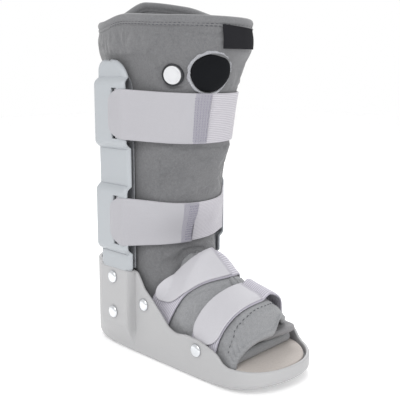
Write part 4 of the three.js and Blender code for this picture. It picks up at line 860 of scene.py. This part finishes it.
def strap_hold(z, turn):
    """1 under a leg strap and 0 away from it."""
    front = np.maximum(np.sin(np.radians(turn)), 0)
    hold = 0 * z
    for middle_z in (UPPER_STRAP_Z, LOWER_STRAP_Z):
        away = np.abs(z - (middle_z - STRAP_DROP * front)) - STRAP_HALF_WIDTH
        hold = np.maximum(hold, 1 - smooth_step(0.0, 5.0, away))
    return hold


def soft_waves(first, second, count, longest, shortest):
    """Gentle unevenness, about -1 to 1: a sum of sine waves over two coordinates in mm."""
    total = 0 * first
    for _ in range(count):
        length = random.uniform(shortest, longest)
        heading = random.uniform(0, 2 * np.pi)
        phase = random.uniform(0, 2 * np.pi)
        way = first * np.cos(heading) + second * np.sin(heading)
        total = total + np.sin(2 * np.pi * way / length + phase)
    return total / np.sqrt(count)


turns = np.linspace(0, 360, LEG_COLUMNS, endpoint=False)
smoothing = np.array([1, 4, 6, 4, 1]) / 16
bottoms = np.convolve(np.pad(leg_bottom(turns), 2, mode="wrap"), smoothing, mode="valid")
tops = rim_top(turns) - RIM_HEIGHT + 1.5
heights = bottoms + (tops - bottoms) * np.linspace(0, 1, LEG_ROWS)[:, None]
turn_grid = np.broadcast_to(turns, heights.shape)
round_mm = np.radians(turn_grid) * LEG_ROUND
in_front = np.maximum(np.sin(np.radians(turn_grid)), 0)
free = 1 - strap_hold(heights, turn_grid)
ankle = np.exp(-(((heights - CREASE_Z) / CREASE_REACH) ** 2)) * in_front
creases = 1.3 * np.sin(heights / 1.9 + 2.2 * np.sin(np.radians(turn_grid) * 3)) * ankle
quilt = 0.35 * soft_waves(round_mm, heights, 14, 60, 22) * free
on_pad = (np.abs(np.cos(np.radians(turn_grid))) > 0.82) & (heights < PAD_TOP_Z)
radius = leg_radius(turn_grid, heights) + np.where(on_pad, -0.2, quilt + creases * free)
outside = round_leg(turn_grid, radius, heights)

near_rim = smooth_step(8.0, 2.0, (tops - heights))
near_bottom = smooth_step(6.0, 1.0, heights - bottoms)
held = np.maximum.reduce([1 - free, near_rim, near_bottom, on_pad.astype(float)])
outside = swell(outside, held, 1.2, 1.8, wrap_columns=True)

heights = bottoms + (tops - bottoms) * np.linspace(1, 0, INNER_ROWS)[:, None]
turn_grid = np.broadcast_to(turns, heights.shape)
waves = 0.4 * soft_waves(np.radians(turn_grid) * LEG_ROUND, heights, 12, 60, 25)
radius = leg_radius(turn_grid, heights) - LINER_THICKNESS + waves
wall = np.concatenate([outside, round_leg(turn_grid, radius, heights)])
leg = grid_piece("liner_leg_padding", wall, LEG_FELT, "leg_fabric", ["liner_leg"], **CLOSED)

# %% [markdown]
# ## The rolled rim
# A soft roll binds the rim, with a narrow tape sewn under it. The section is a closed profile of
# (out, up) about the wall's middle, carried round the rim. Two rows of dark thread hold the tape.

# %% Rim binding
# Each pair: out from the wall's middle, up from the rim's top.
RIM_PROFILE = [(3.3, -8.6), (3.75, -8.3), (3.8, -7.2), (3.45, -6.5), (3.1, -6.2), (3.6, -5.8)]
RIM_PROFILE += [(4.2, -4.6), (4.3, -3.1), (3.7, -1.5), (2.4, -0.5), (0.6, -0.05), (-1.2, -0.3)]
RIM_PROFILE += [(-2.9, -1.3), (-3.9, -2.9), (-4.1, -4.6), (-3.6, -6.1), (-3.5, -8.4), (-3.0, -8.7)]
RIM_PROFILE += [(0.0, -8.4)]
PUCKERS, PUCKER_UP = 95, -6.3


def even_points(points, count):
    """Points at even distances round a closed outline."""
    ring = np.array([*points, points[0]])
    steps = np.linalg.norm(np.diff(ring, axis=0), axis=1)
    at = np.concatenate([[0], np.cumsum(steps)])
    places = np.linspace(0, at[-1], count, endpoint=False)
    return np.stack([np.interp(places, at, ring[:, i]) for i in range(2)], axis=1)


profile = even_points(RIM_PROFILE, 44)
rim_turns = np.linspace(0, 360, 420, endpoint=False)
profile_out = profile[:, 0][:, None]
profile_up = profile[:, 1][:, None]
in_fold = np.exp(-(((profile_up - PUCKER_UP) / 0.9) ** 2))
pucker = 0.12 * np.cos(np.radians(rim_turns) * PUCKERS) * in_fold
lumps = 0.25 * soft_waves(np.radians(rim_turns) * LEG_ROUND, 0 * rim_turns, 8, 40, 12)
heights = rim_top(rim_turns) + profile_up * (1 + 0.02 * lumps)
radius = leg_radius(rim_turns, heights) - LINER_THICKNESS / 2 + profile_out + pucker
points = round_leg(rim_turns, radius + np.sign(profile_out) * lumps * 0.3, heights)
rim = grid_piece("rim_roll", points, RIM_FELT, "leg_fabric", ["rim_binding"], **CLOSED)

seam_turns = np.linspace(-20, 200, 400)
for row, (seam_up, seam_out) in enumerate(((-6.25, 3.15), (-7.9, 3.85))):
    heights = rim_top(seam_turns % 360) + seam_up
    radius = leg_radius(seam_turns, heights) - LINER_THICKNESS / 2 + seam_out
    path = round_leg(seam_turns, radius, heights)
    way_out = (path - [0, LEG_AXIS_Y, 0]) * [1, 1, 0]
    stitch_row(f"rim_stitches_{row}", path, way_out, 2.6, 0.9, 0.26, DARK_THREAD, "leg_fabric")

# %% [markdown]
# ## The rocker shell
# The shell is one wall carried round the sole's outline: up the outside, over a rounded lip, down
# the inside and across the floor. The two channels for the uprights are bulges of the wall: both
# its faces move out together inside a window along the boot, so the wall keeps its thickness and a
# pocket opens inside.

# %% Shell
TOE_ROUND, HEEL_ROUND, ROUND_POWER = 48.0, 46.0, 2.3
TOE_LIFT, TOE_LIFT_LENGTH, HEEL_LIFT, HEEL_LIFT_LENGTH = 7, 62, 6, 78
SOLE_FLOOR, SHELL_WALL, CUP_HEIGHT, SOLE_EDGE, LIP = 12.5, 2.8, 71.0, 4.0, 1.3
TONGUE_FRONT_Y, TONGUE_BACK_Y, TONGUE_BOTTOM = 34.0, 62.0, 22.0
CHANNEL_BULGE, CHANNEL_LOW, CHANNEL_SLOPE, CHANNEL_FADE = 6.65, 4.0, 22.0, 15.0
OUTER_SPARE, LIP_SPARE, INNER_SPARE = 3.15, 1.05, 0.35
GROOVE_Y, GROOVE_DEPTH, GROOVE_WIDTH = 28.8, 1.5, 0.6
# Each pair: share of half the sole's length, share of the cup's height.
SHELL_EDGE = [(-1, 0.255), (-0.74, 0.26), (-0.68, 0.285), (-0.62, 0.36), (-0.53, 0.405)]
SHELL_EDGE += [(-0.42, 0.44), (-0.31, 0.45), (-0.2, 0.43), (-0.12, 0.46), (-0.05, 0.545)]
SHELL_EDGE += [(0.03, 0.645), (0.11, 0.745), (0.17, 0.815), (0.21, 0.9), (0.26, 0.985)]
SHELL_EDGE += [(0.32, 1.0), (1, 1.0)]


def sole_ring(inset, end_steps=40, side_steps=210):
    """Plan outline of the sole: two straight sides joined by superellipse ends."""
    angle = np.linspace(0, np.pi / 2, end_steps)
    power = 2 / ROUND_POWER
    width = SOLE_HALF_WIDTH - inset
    end_x = width * np.sin(angle) ** power
    end_y = np.maximum(np.cos(angle), 0) ** power
    toe_y = -HALF_SOLE + TOE_ROUND - (TOE_ROUND - inset) * end_y
    heel_y = HALF_SOLE - HEEL_ROUND + (HEEL_ROUND - inset) * end_y
    side_y = np.linspace(toe_y[-1], heel_y[-1], side_steps + 2)[1:-1]
    x = np.concatenate([end_x, np.full(side_steps, width), end_x[::-1]])
    y = np.concatenate([toe_y, side_y, heel_y[::-1]])
    return np.concatenate([-x, x[-2:0:-1]]), np.concatenate([y, y[-2:0:-1]])


def underside(y):
    """Height of the sole's underside, which lifts at the toe and at the heel."""
    toe = np.maximum(0, -(y + HALF_SOLE - TOE_LIFT_LENGTH) / TOE_LIFT_LENGTH)
    heel = np.maximum(0, (y - HALF_SOLE + HEEL_LIFT_LENGTH) / HEEL_LIFT_LENGTH)
    return TOE_LIFT * toe**1.6 + HEEL_LIFT * heel**1.8


def side_bottom(y):
    return underside(y) + SOLE_EDGE


def shell_top(y):
    return CUP_HEIGHT * curve(SHELL_EDGE, y / HALF_SOLE)


def lip_bottom(y):
    return shell_top(y) - LIP


def inner_floor(y):
    return SOLE_FLOOR + 0 * y


def channel_window(y, z, spare):
    """1 inside a channel's window along the boot and 0 outside it. spare widens the window."""
    front = smooth_step(TONGUE_FRONT_Y - 1.4 - spare, TONGUE_FRONT_Y + 0.4 - spare, y)
    outer = spare > 0.5
    fade = CHANNEL_FADE if outer else 1.4
    back = 1 - smooth_step(TONGUE_BACK_Y - 0.4 + spare, TONGUE_BACK_Y + fade + spare, y)
    if outer:
        return front * back * smooth_step(CHANNEL_LOW, CHANNEL_LOW + CHANNEL_SLOPE, z)
    return front * back * np.clip((z - TONGUE_BOTTOM + 3) / 2.5, 0, 1)


def shell_row(inset, low, high=inner_floor, share=0.0, rise=0.0, squeeze=1.0, spare=None):
    """One ring of the shell, at a share of the way from one height to another.

    With a spare, it moves out at the channels, and the outermost rings dip in at the groove.
    """
    x, y = sole_ring(inset)
    z = low(y) * (1 - share) + high(y) * share + rise
    out = 0 * x
    if spare is not None:
        groove = GROOVE_DEPTH * np.exp(-(((y - GROOVE_Y) / GROOVE_WIDTH) ** 2))
        groove = groove * smooth_step(16, 19, z) * (spare > 3)
        on_side = np.abs(x) > SOLE_HALF_WIDTH - inset - 0.5
        out = np.sign(x) * (CHANNEL_BULGE * channel_window(y, z, spare) - groove) * on_side
    return np.stack([x * squeeze + toe_swing(y) + out, y, z], axis=-1)


rows = []
for share in (0.0, 0.25, 0.5, 0.75, 0.9, 1.0):
    rows.append(shell_row(SOLE_EDGE, underside, squeeze=share))
for angle in np.linspace(0, np.pi / 2, 8)[1:]:
    inset = SOLE_EDGE * (1 - np.sin(angle))
    rows.append(shell_row(inset, underside, rise=SOLE_EDGE * (1 - np.cos(angle))))
for share in np.linspace(0, 1, 52)[1:]:
    rows.append(shell_row(0.0, side_bottom, lip_bottom, share, spare=OUTER_SPARE))
for angle in np.linspace(0, np.pi, 11)[1:-1]:
    across = (1 - np.cos(angle)) / 2
    spare = OUTER_SPARE * (1 - across) + LIP_SPARE * across
    rows.append(shell_row(SHELL_WALL * across, lip_bottom, rise=LIP * np.sin(angle), spare=spare))
for share in np.linspace(0, 1, 34):
    rows.append(shell_row(SHELL_WALL, lip_bottom, inner_floor, share, spare=INNER_SPARE))
for share in (0.9, 0.6, 0.3, 0.0):
    rows.append(shell_row(SHELL_WALL, inner_floor, squeeze=share))
shell = np.stack(rows)
grid_piece("rocker_shell", shell, SHELL_PLASTIC, "shell", ["base_shell"], wrap_columns=True)

# %% [markdown]
# ## Uprights
# Each upright is a moulded strip with two raised pads. Its face is a height over a grid of
# (height, share of its width); the quads over the strap slots are left out, and Solidify gives the
# sheet its wall.

# %% Uprights
UPRIGHT_TOP, UPRIGHT_CORNER, BACK_CORNER, UPRIGHT_WALL = 237.0, 21.0, 7.0, 2.6
PAD_SLOPE, PAD_MARGIN, SLOT_HALF_LENGTH = 5.0, 3.0, 19.85
TONGUE_TOP, TONGUE_SHOULDER = 71.5, 74.0


def corner_cut(z, radius):
    """How far a rounded corner at the top draws the edge in at a height."""
    over = np.clip(z - (UPRIGHT_TOP - radius), 0, radius)
    return radius - np.sqrt(radius**2 - over**2)


def upright_piece(name, side, node):
    """One upright: its face over a grid, with the slots left out and a wall added."""
    slots = [(z - SLOT_HALF_LENGTH, z + SLOT_HALF_LENGTH) for z in (UPPER_STRAP_Z, LOWER_STRAP_Z)]
    z = np.linspace(TONGUE_BOTTOM, UPRIGHT_TOP, 240)
    z = np.unique(np.concatenate([z, np.array(slots).ravel()]))
    width = UPRIGHT_BACK_Y - UPRIGHT_FRONT_Y
    slot_shares = [(y - UPRIGHT_FRONT_Y) / width for y in (SLOT_FRONT_Y, SLOT_BACK_Y)]
    edge_shares = 1.2 / width * np.array([0, 0.1, 0.3, 0.6, 1.0])
    share = np.concatenate([edge_shares, np.linspace(0.06, 0.94, 40), 1 - edge_shares, slot_shares])
    share = np.unique(share)
    tongue = 1 - smooth_step(TONGUE_TOP, TONGUE_SHOULDER, z)
    front = UPRIGHT_FRONT_Y + (TONGUE_FRONT_Y - UPRIGHT_FRONT_Y) * tongue
    back = UPRIGHT_BACK_Y + (TONGUE_BACK_Y - UPRIGHT_BACK_Y) * tongue
    front = (front + corner_cut(z, UPRIGHT_CORNER))[:, None]
    back = (back - corner_cut(z, BACK_CORNER))[:, None]
    y = front + (back - front) * share
    heights = np.broadcast_to(z[:, None], y.shape)
    raised = 0 * y
    for middle in (UPPER_STRAP_Z, LOWER_STRAP_Z):
        away = np.abs(heights - middle) - STRAP_HALF_WIDTH - PAD_MARGIN
        raised = np.maximum(raised, 1 - smooth_step(0, PAD_SLOPE, away))
    border = np.minimum.reduce([y - front, back - y, UPRIGHT_TOP - heights])
    near_edge = np.clip(1 - border / 1.3, 0, 1)
    rounding = 1.1 * (1 - np.sqrt(1 - near_edge**2))
    dish = 0.5 * np.sin(np.pi * share) * smooth_step(222, 232, heights)
    x = UPRIGHT_OUTER_X + PAD_RAISE * raised - rounding - dish
    points = np.stack([side * x, y, heights], axis=-1)
    middle_y = (y[:-1, :-1] + y[1:, 1:]) / 2
    middle_z = (heights[:-1, :-1] + heights[1:, 1:]) / 2
    keep = np.ones(middle_y.shape, dtype=bool)
    for low, high in slots:
        hole = (middle_y > SLOT_FRONT_Y) & (middle_y < SLOT_BACK_Y)
        keep &= ~(hole & (middle_z > low) & (middle_z < high))
    piece = grid_piece(
        name, points, UPRIGHT_PLASTIC, "upright", [node], outward=False, keep=keep
    )
    if side == FAR:
        piece.data.flip_normals()
    wall = piece.modifiers.new("wall", "SOLIDIFY")
    wall.thickness = UPRIGHT_WALL * MM
    wall.offset = -1


upright_piece("upright_near_moulding", NEAR, "upright_near")
upright_piece("upright_far_moulding", FAR, "upright_far")

# %% [markdown]
# ## The padded foot
# The foot's wall is a grid over the dome, from the front edge of each arch to where the leg's wall
# meets it. It swells between the straps. Its free front edge is creased, and has a sewn groove.

# %% Foot wall
FOOT_COLUMNS, FOOT_ROWS, SEAM_FROM_EDGE, FOOT_ROUND = 150, 120, 7.0, 34
FOOT_FRONT_Y, FOOT_BACK_Y, NOSE_LENGTH = -78, 31.0, 2.2
PATCH_ARCH, PATCH_Y, PATCH_HALF_ARCH, PATCH_HALF_LENGTH, PATCH_RAISE = 101, -41, 13, 5.5, 1.3

arches = np.linspace(0, 180, FOOT_COLUMNS)
scan = np.linspace(-60, FOOT_BACK_Y, 180)[:, None]
scanned = foot_point(arches + 0 * scan, scan + 0 * arches, 0.0)
meets_leg = leg_half_width(scanned[..., 1], scanned[..., 2]) + 0.5 > np.abs(scanned[..., 0])
first_meeting = np.where(meets_leg.any(axis=0), scan[np.argmax(meets_leg, axis=0), 0], FOOT_BACK_Y)
back_y = np.convolve(np.pad(first_meeting, 3, mode="edge"), np.ones(7) / 7, mode="valid")
front_y = FOOT_FRONT_Y + 6 * smooth_step(92, 140, arches) + 12 * smooth_step(136, 172, arches)
foot_y = front_y + (back_y - front_y) * np.linspace(0, 1, FOOT_ROWS)[:, None]
arch_grid = np.broadcast_to(arches, foot_y.shape)


def foot_strap_hold(arch, y):
    """1 under a foot strap and 0 away from it."""
    hold = 0 * y
    for _, top_y, side_y, *_ in FOOT_STRAPS:
        away = np.abs(y - strap_line(arch, top_y, side_y)) - FOOT_STRAP_HALF * 0.9
        hold = np.maximum(hold, 1 - smooth_step(-1.0, 4.0, away))
    return hold


free = 1 - foot_strap_hold(arch_grid, foot_y)
from_front = foot_y - front_y
round_foot = np.radians(arch_grid) * FOOT_ROUND
creases = np.sin(round_foot * 1.1 + 0.6 * np.sin(from_front / 3)) * np.exp(-from_front / 9)
creases = creases * (1 - smooth_step(45, 80, arch_grid)) * smooth_step(2, 14, arch_grid)
groove = -0.7 * np.exp(-(((from_front - SEAM_FROM_EDGE) / 0.9) ** 2))
groove = groove * smooth_step(0, 10, arch_grid)
across_patch = np.abs(arch_grid - PATCH_ARCH) / PATCH_HALF_ARCH
patch = np.maximum(across_patch, np.abs(foot_y - PATCH_Y) / PATCH_HALF_LENGTH)
waves = 0.4 * soft_waves(round_foot, foot_y, 16, 40, 13) * free
lift = waves + 0.8 * creases + groove + PATCH_RAISE * (1 - smooth_step(0.85, 1.1, patch))
low_edge = np.clip(smooth_step(12, 4, arch_grid) + smooth_step(168, 176, arch_grid), 0, 1)
outside = foot_point(arch_grid, foot_y, lift * (1 - low_edge))
near_ends = [smooth_step(4, 1, from_front), smooth_step(5, 1, back_y - foot_y)]
held = np.maximum.reduce([1 - free, *near_ends, low_edge])
outside = swell(outside, held, 1.5, 1.6, wrap_columns=False)

waves = 0.3 * soft_waves(round_foot, foot_y, 10, 50, 20)
inside = foot_point(arch_grid, foot_y, -FOOT_WALL + waves)
between = (outside + inside) / 2
front_half = (outside[:1] - inside[:1]) / 2
turns = np.linspace(0, np.pi, 9)[1:-1, None, None]
push = np.array([0.0, -NOSE_LENGTH, 0.0])
nose = between[:1] - front_half * np.cos(turns) + push * np.sin(turns)
wall = np.concatenate([outside, inside[::-1], nose])
wall_middle = np.concatenate([between, between[::-1], np.repeat(between[:1], len(nose), axis=0)])
wall = np.concatenate([wall_middle[:, :1], wall, wall_middle[:, -1:]], axis=1)
foot = grid_piece(
    "liner_foot_padding", wall, FOOT_FELT, "foot_fabric", ["liner_foot"], wrap_rows=True
)

seam_row = SEAM_FROM_EDGE / (back_y - front_y) * (FOOT_ROWS - 1)
row = np.floor(seam_row).astype(int)
part = (seam_row - row)[:, None]
columns = np.arange(FOOT_COLUMNS)


def along_seam(grid):
    return grid[row, columns] * (1 - part) + grid[row + 1, columns] * part


kept = (arches > 12) & (arches < 150)
path = along_seam(outside)[kept]
way_out = path - along_seam(inside)[kept]
stitch_row("foot_edge_stitches", path, way_out, 2.6, 1.5, 0.32, DARK_THREAD, "foot_fabric")

# %% [markdown]
# ## Flat padded layers
# The liner's sole, the under flap and the footbed are slabs. Each is its plan outline drawn towards
# its middle, with a thickness that falls off near the edge like the quarter of a circle.

# %% Slabs
FOOTBED_INSET, FOOTBED_BOTTOM, FOOTBED_TOP = 4.4, 12.8, 16.8
SOLE_PAD_INSET, SOLE_PAD_FRONT = 9.1, -76.5
FLAP_X, FLAP_Y, FLAP_BOTTOM, FLAP_THICKNESS, FLAP_SQUARENESS = 14, -66, 27.5, 5.0, 0.55


def soft_layer(spot):
    """Gentle unevenness of a padded layer over its plan."""
    x, y = spot[:, 0], spot[:, 1]
    return np.sin(x / 6.1 + 0.7) * np.sin(y / 7.3) + 0.5 * np.sin(x / 2.9 + y / 3.7)


def slab(name, outline, levels, edge, material, slot, node, unevenness=0.0):
    """A slab over a plan outline (x, y). edge is how far in from the outline its rounding goes."""
    bottom, top = levels
    middle = outline.mean(axis=0)
    reach = np.linalg.norm(outline - middle, axis=1)
    inward = np.array([0, 0.04, 0.15, 0.35, 0.65, 1.0, 2.0, 4.0]) * edge
    shares = [1 - np.minimum(step, reach * 0.9) / reach for step in inward]
    shares += [shares[-1] * factor for factor in (0.75, 0.5, 0.25, 0.0)]
    falls = [np.sqrt(1 - (1 - min(step / edge, 1)) ** 2) for step in inward] + [1] * 4
    layers = []
    for sign, order in ((1, range(len(shares) - 1, -1, -1)), (-1, range(1, len(shares)))):
        for i in order:
            spot = middle + (outline - middle) * shares[i][:, None]
            bumps = unevenness * soft_layer(spot) * falls[i] * (sign > 0)
            z = (top + bottom) / 2 + sign * (top - bottom) / 2 * falls[i] + bumps
            layers.append(np.column_stack([spot, z]))
    return grid_piece(name, np.stack(layers), material, slot, [node], wrap_columns=True)


x, y = sole_ring(FOOTBED_INSET, 40, 60)
outline = np.column_stack([x + toe_swing(y), y])
levels = (FOOTBED_BOTTOM, FOOTBED_TOP)
slab("footbed_pad", outline, levels, 1.4, FOOTBED_FELT, "footbed", "footbed")

x, y = sole_ring(SOLE_PAD_INSET, 40, 60)
x = x + toe_swing(y)
outline = np.column_stack([x, np.maximum(y, SOLE_PAD_FRONT + (x + 36) / 72 * 8)])
levels = (LINER_BOTTOM, LINER_SOLE_TOP)
slab("liner_sole_pad", outline, levels, 2.6, FOOT_FELT, "foot_fabric", "liner_sole", 0.25)

angle = np.linspace(0, 2 * np.pi, 160, endpoint=False)
flap_x = np.sign(np.cos(angle)) * np.abs(np.cos(angle)) ** FLAP_SQUARENESS
flap_y = FLAP_Y + 10 * np.sign(np.sin(angle)) * np.abs(np.sin(angle)) ** FLAP_SQUARENESS
far_reach = 23 - 9.5 * smooth_step(FLAP_Y, FLAP_Y + 10, flap_y)
outline = np.column_stack([FLAP_X + np.where(flap_x > 0, far_reach, 22) * flap_x, flap_y])
levels = (FLAP_BOTTOM, FLAP_BOTTOM + FLAP_THICKNESS)
# The flap's darker felt is painted shade inside the toe, under the foot's front.
flap = slab(
    "under_flap_pad", outline, levels, 2.5, SHADED_FLAP_FELT, "leg_fabric", "liner_under_flap", 0.3
)

# %% [markdown]
# ## Turned pieces
# The bulb, the valve and the rivets are round: a profile of (radius, height) turned about an axis.
# On the leg, the axis is the surface's own way out, taken over the reach of the piece.


# %% Turned pieces
def leg_frame(turn, z, reach):
    """Place on the leg, and the ways round it, up it and out of it."""

    def surface(t, height):
        return round_leg(t, leg_radius(t, height), height)

    spot = surface(turn, z)
    step = np.degrees(reach / np.hypot(spot[0], spot[1] - LEG_AXIS_Y))
    way_round = surface(turn + step, z) - surface(turn - step, z)
    way_round = way_round / np.linalg.norm(way_round)
    climb = surface(turn, z + reach) - surface(turn, z - reach)
    out = np.cross(way_round, climb)
    out = out / np.linalg.norm(out)
    return spot, way_round, np.cross(out, way_round), out


def turned_piece(name, axes, profile, segments, material, slot, node, body="boot"):
    """A piece from a profile of (radius, height) turned about the frame's way out."""
    spot, way_round, way_up, out = axes
    angle = np.linspace(0, 2 * np.pi, segments, endpoint=False)
    radius = np.array(profile)[:, :1] + 0 * angle
    height = np.array(profile)[:, 1:] + 0 * angle
    spokes = np.cos(angle)[:, None] * way_round + np.sin(angle)[:, None] * way_up
    points = spot + radius[..., None] * spokes + height[..., None] * out
    return grid_piece(name, points, material, slot, [node], body, wrap_columns=True)


BULB_RADIUS, BULB_RISE, BULB_TURN, BULB_Z = 15.6, 4.5, 77.5, 229.0
VALVE_RADIUS, VALVE_TURN, VALVE_Z = 8.6, 50.5, 227.5
bulb_axes = leg_frame(BULB_TURN, BULB_Z, BULB_RADIUS)
valve_axes = leg_frame(VALVE_TURN, VALVE_Z, VALVE_RADIUS)

dome = np.linspace(0, np.pi / 2, 22)[:-1]
bulb_profile = [(0, -3.6), (BULB_RADIUS - 0.6, -3.6), (BULB_RADIUS, -3.0), (BULB_RADIUS, -0.2)]
bulb_profile += [(BULB_RADIUS * np.cos(a) ** 0.8, BULB_RISE * np.sin(a)) for a in dome]
bulb_profile += [(0.0, BULB_RISE)]
turned_piece("bulb_dome", bulb_axes, bulb_profile, 96, BULB_RUBBER, "bulb", "pump_bulb")

ring_profile = [(0, -1.4), (6.0, -1.4), (7.35, -1.3), (7.35, 1.9), (7.5, 2.35), (7.8, 2.6)]
ring_profile += [(8.2, 2.35), (8.55, 1.7), (8.6, 0.8), (8.6, -2.2), (8.3, -2.4), (0, -2.4)]
turned_piece("valve_ring", valve_axes, ring_profile, 80, VALVE_BLACK, "bulb", "valve_housing")

cap_profile = [(0, 0.4), (6.6, 0.4), (7.0, 0.7), (7.0, 2.1), (6.8, 2.7), (6.2, 3.0)]
cap_profile += [(5.7, 2.85), (5.2, 2.45), (4.6, 2.4), (4.2, 2.55), (2.0, 2.9), (0, 3.0)]
turned_piece(
    "valve_cap", valve_axes, cap_profile, 80, VALVE_WHITE, "valve", "valve_button", "button"
)

# %% [markdown]
# Each rivet has a domed head on the shell's face and a shank that reaches into what it holds.

# %% Rivets
# Each row: name, place on the far side, length of the shank.
RIVETS = (
    ("channel_high", (52.15, 49.0, 63.0), 6.5),
    ("channel_low", (52.15, 49.0, 33.0), 6.5),
    ("ankle", (45.5, 17.0, 44.5), 2.7),
    ("forefoot", (45.5, -45.0, 23.5), 2.7),
)
HEAD_RADIUS, HEAD_RISE, SHANK_RADIUS = 5.2, 2.0, 2.2

for name, spot, shank in RIVETS:
    head = [(0, 0.3 - shank), (SHANK_RADIUS, 0.3 - shank), (SHANK_RADIUS, 0.25)]
    head += [(HEAD_RADIUS - 0.2, 0.25), (HEAD_RADIUS, 0.5)]
    for bend in np.linspace(0.05, 1.5, 12):
        head.append((HEAD_RADIUS * np.cos(bend) ** 0.62, 0.5 + HEAD_RISE * np.sin(bend)))
    head.append((0, 0.5 + HEAD_RISE))
    for side, label in ((NEAR, "near"), (FAR, "far")):
        axes = np.array([[side * spot[0], *spot[1:]], [0, 1, 0], [0, 0, side], [side, 0, 0]])
        piece, node = f"rivet_head_{name}_{label}", f"rivet_{name}_{label}"
        turned_piece(piece, axes, head, 40, RIVET_ZINC, "steel", node)

# %% [markdown]
# ## Edging, tag and backing
# A frayed fabric edge rings the bulb. The blank tag hangs from the rim's seam. The thin strips
# behind the uprights keep their solid shape and get a fabric finish.

# %% Edging, tag and backing
TAG_FIRST_TURN, TAG_TURN, TAG_TOP, TAG_BOTTOM, TAG_THICKNESS = 80, 28, 264.2, 246.5, 0.8


def on_leg(axes, along, above, lift):
    """Nearest place on the leg along the frame's way out, by repeated correction."""
    spot, way_round, way_up, out = axes
    flat = spot + along[..., None] * way_round + above[..., None] * way_up
    depth = 0 * along
    for _ in range(12):
        point = flat + depth[..., None] * out
        turn = np.degrees(np.arctan2(LEG_AXIS_Y - point[..., 1], -point[..., 0]))
        gap = np.hypot(point[..., 0], point[..., 1] - LEG_AXIS_Y) - leg_radius(turn, point[..., 2])
        depth = depth - gap * 0.9
    return flat + (depth + lift)[..., None] * out


angle = np.linspace(0, 2 * np.pi, 220, endpoint=False)
fray = 0.35 * soft_waves(angle * 17, 0 * angle, 14, 9, 1.6)
layers = []
# Each row: radius, height over the leg, share of the fray outwards and upwards.
for radius, height, ragged, lifted in (
    (15.95, 0.3, 0, 0),
    (15.95, 1.2, 0, 0.3),
    (16.5, 1.75, 0.8, 0.3),
    (17.3, 1.6, 0.8, 0.3),
    (17.9, 1.0, 0.8, 0),
    (18.1, 0.3, 0.8, 0),
):
    reach = radius + fray * ragged
    spots = (reach * np.cos(angle), reach * np.sin(angle))
    layers.append(on_leg(bulb_axes, *spots, height + lifted * fray))
grid_piece("bulb_fray", np.stack(layers), EDGING_TRIM, "webbing", ["bulb_edging"], **CLOSED)

across = np.linspace(0, 1, 44)
down = np.linspace(0, 1, 28)[:, None]
tag_turn = TAG_FIRST_TURN + TAG_TURN * across + 0 * down
tag_top = TAG_TOP - 2.6 * across
tag_z = tag_top + (TAG_BOTTOM - tag_top) * down
tag_lift = 1.2 + 2.6 * down + 0.25 * np.sin(across * 7) * down
points = round_leg(tag_turn, leg_radius(tag_turn, tag_z) + tag_lift, tag_z)
tag = grid_piece("tag_patch", points, TAG_BLACK, "tag", ["blank_tag"], outward=False)
thickness = tag.modifiers.new("thickness", "SOLIDIFY")
thickness.thickness = TAG_THICKNESS * MM
thickness.offset = 0
rounding = tag.modifiers.new("rounding", "BEVEL")
rounding.width = 0.25 * MM
rounding.segments = 2

for node in ("backing_near", "backing_far"):
    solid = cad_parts[node]
    solid.data.materials.clear()
    solid.data.materials.append(BACKING_TAPE)

# %% [markdown]
# ## Floor and finish
# The floor gives off a little light of its own, so that it meets the white backdrop without an edge.

# %% Floor and the end
FLOOR_HALF = 3000.0

floor_look = Look("pale_floor")
cloudy = floor_look.noise(floor_look.place(), 3.0)
floor_look.set(
    Base_Color=floor_look.blend(cloudy, (0.92, 0.92, 0.92, 1), (0.9, 0.9, 0.9, 1)),
    Roughness=0.6,
    Emission_Color=(1, 1, 1, 1),
    Emission_Strength=0.24,
)
corners = [[[x, y, 0] for x in (-FLOOR_HALF, FLOOR_HALF)] for y in (-FLOOR_HALF, FLOOR_HALF)]
floor_mesh = grid_mesh("floor", np.array(corners))
floor_mesh.materials.append(floor_look.material)
floor = bpy.data.objects.new("floor", floor_mesh)
bpy.context.scene.collection.objects.link(floor)
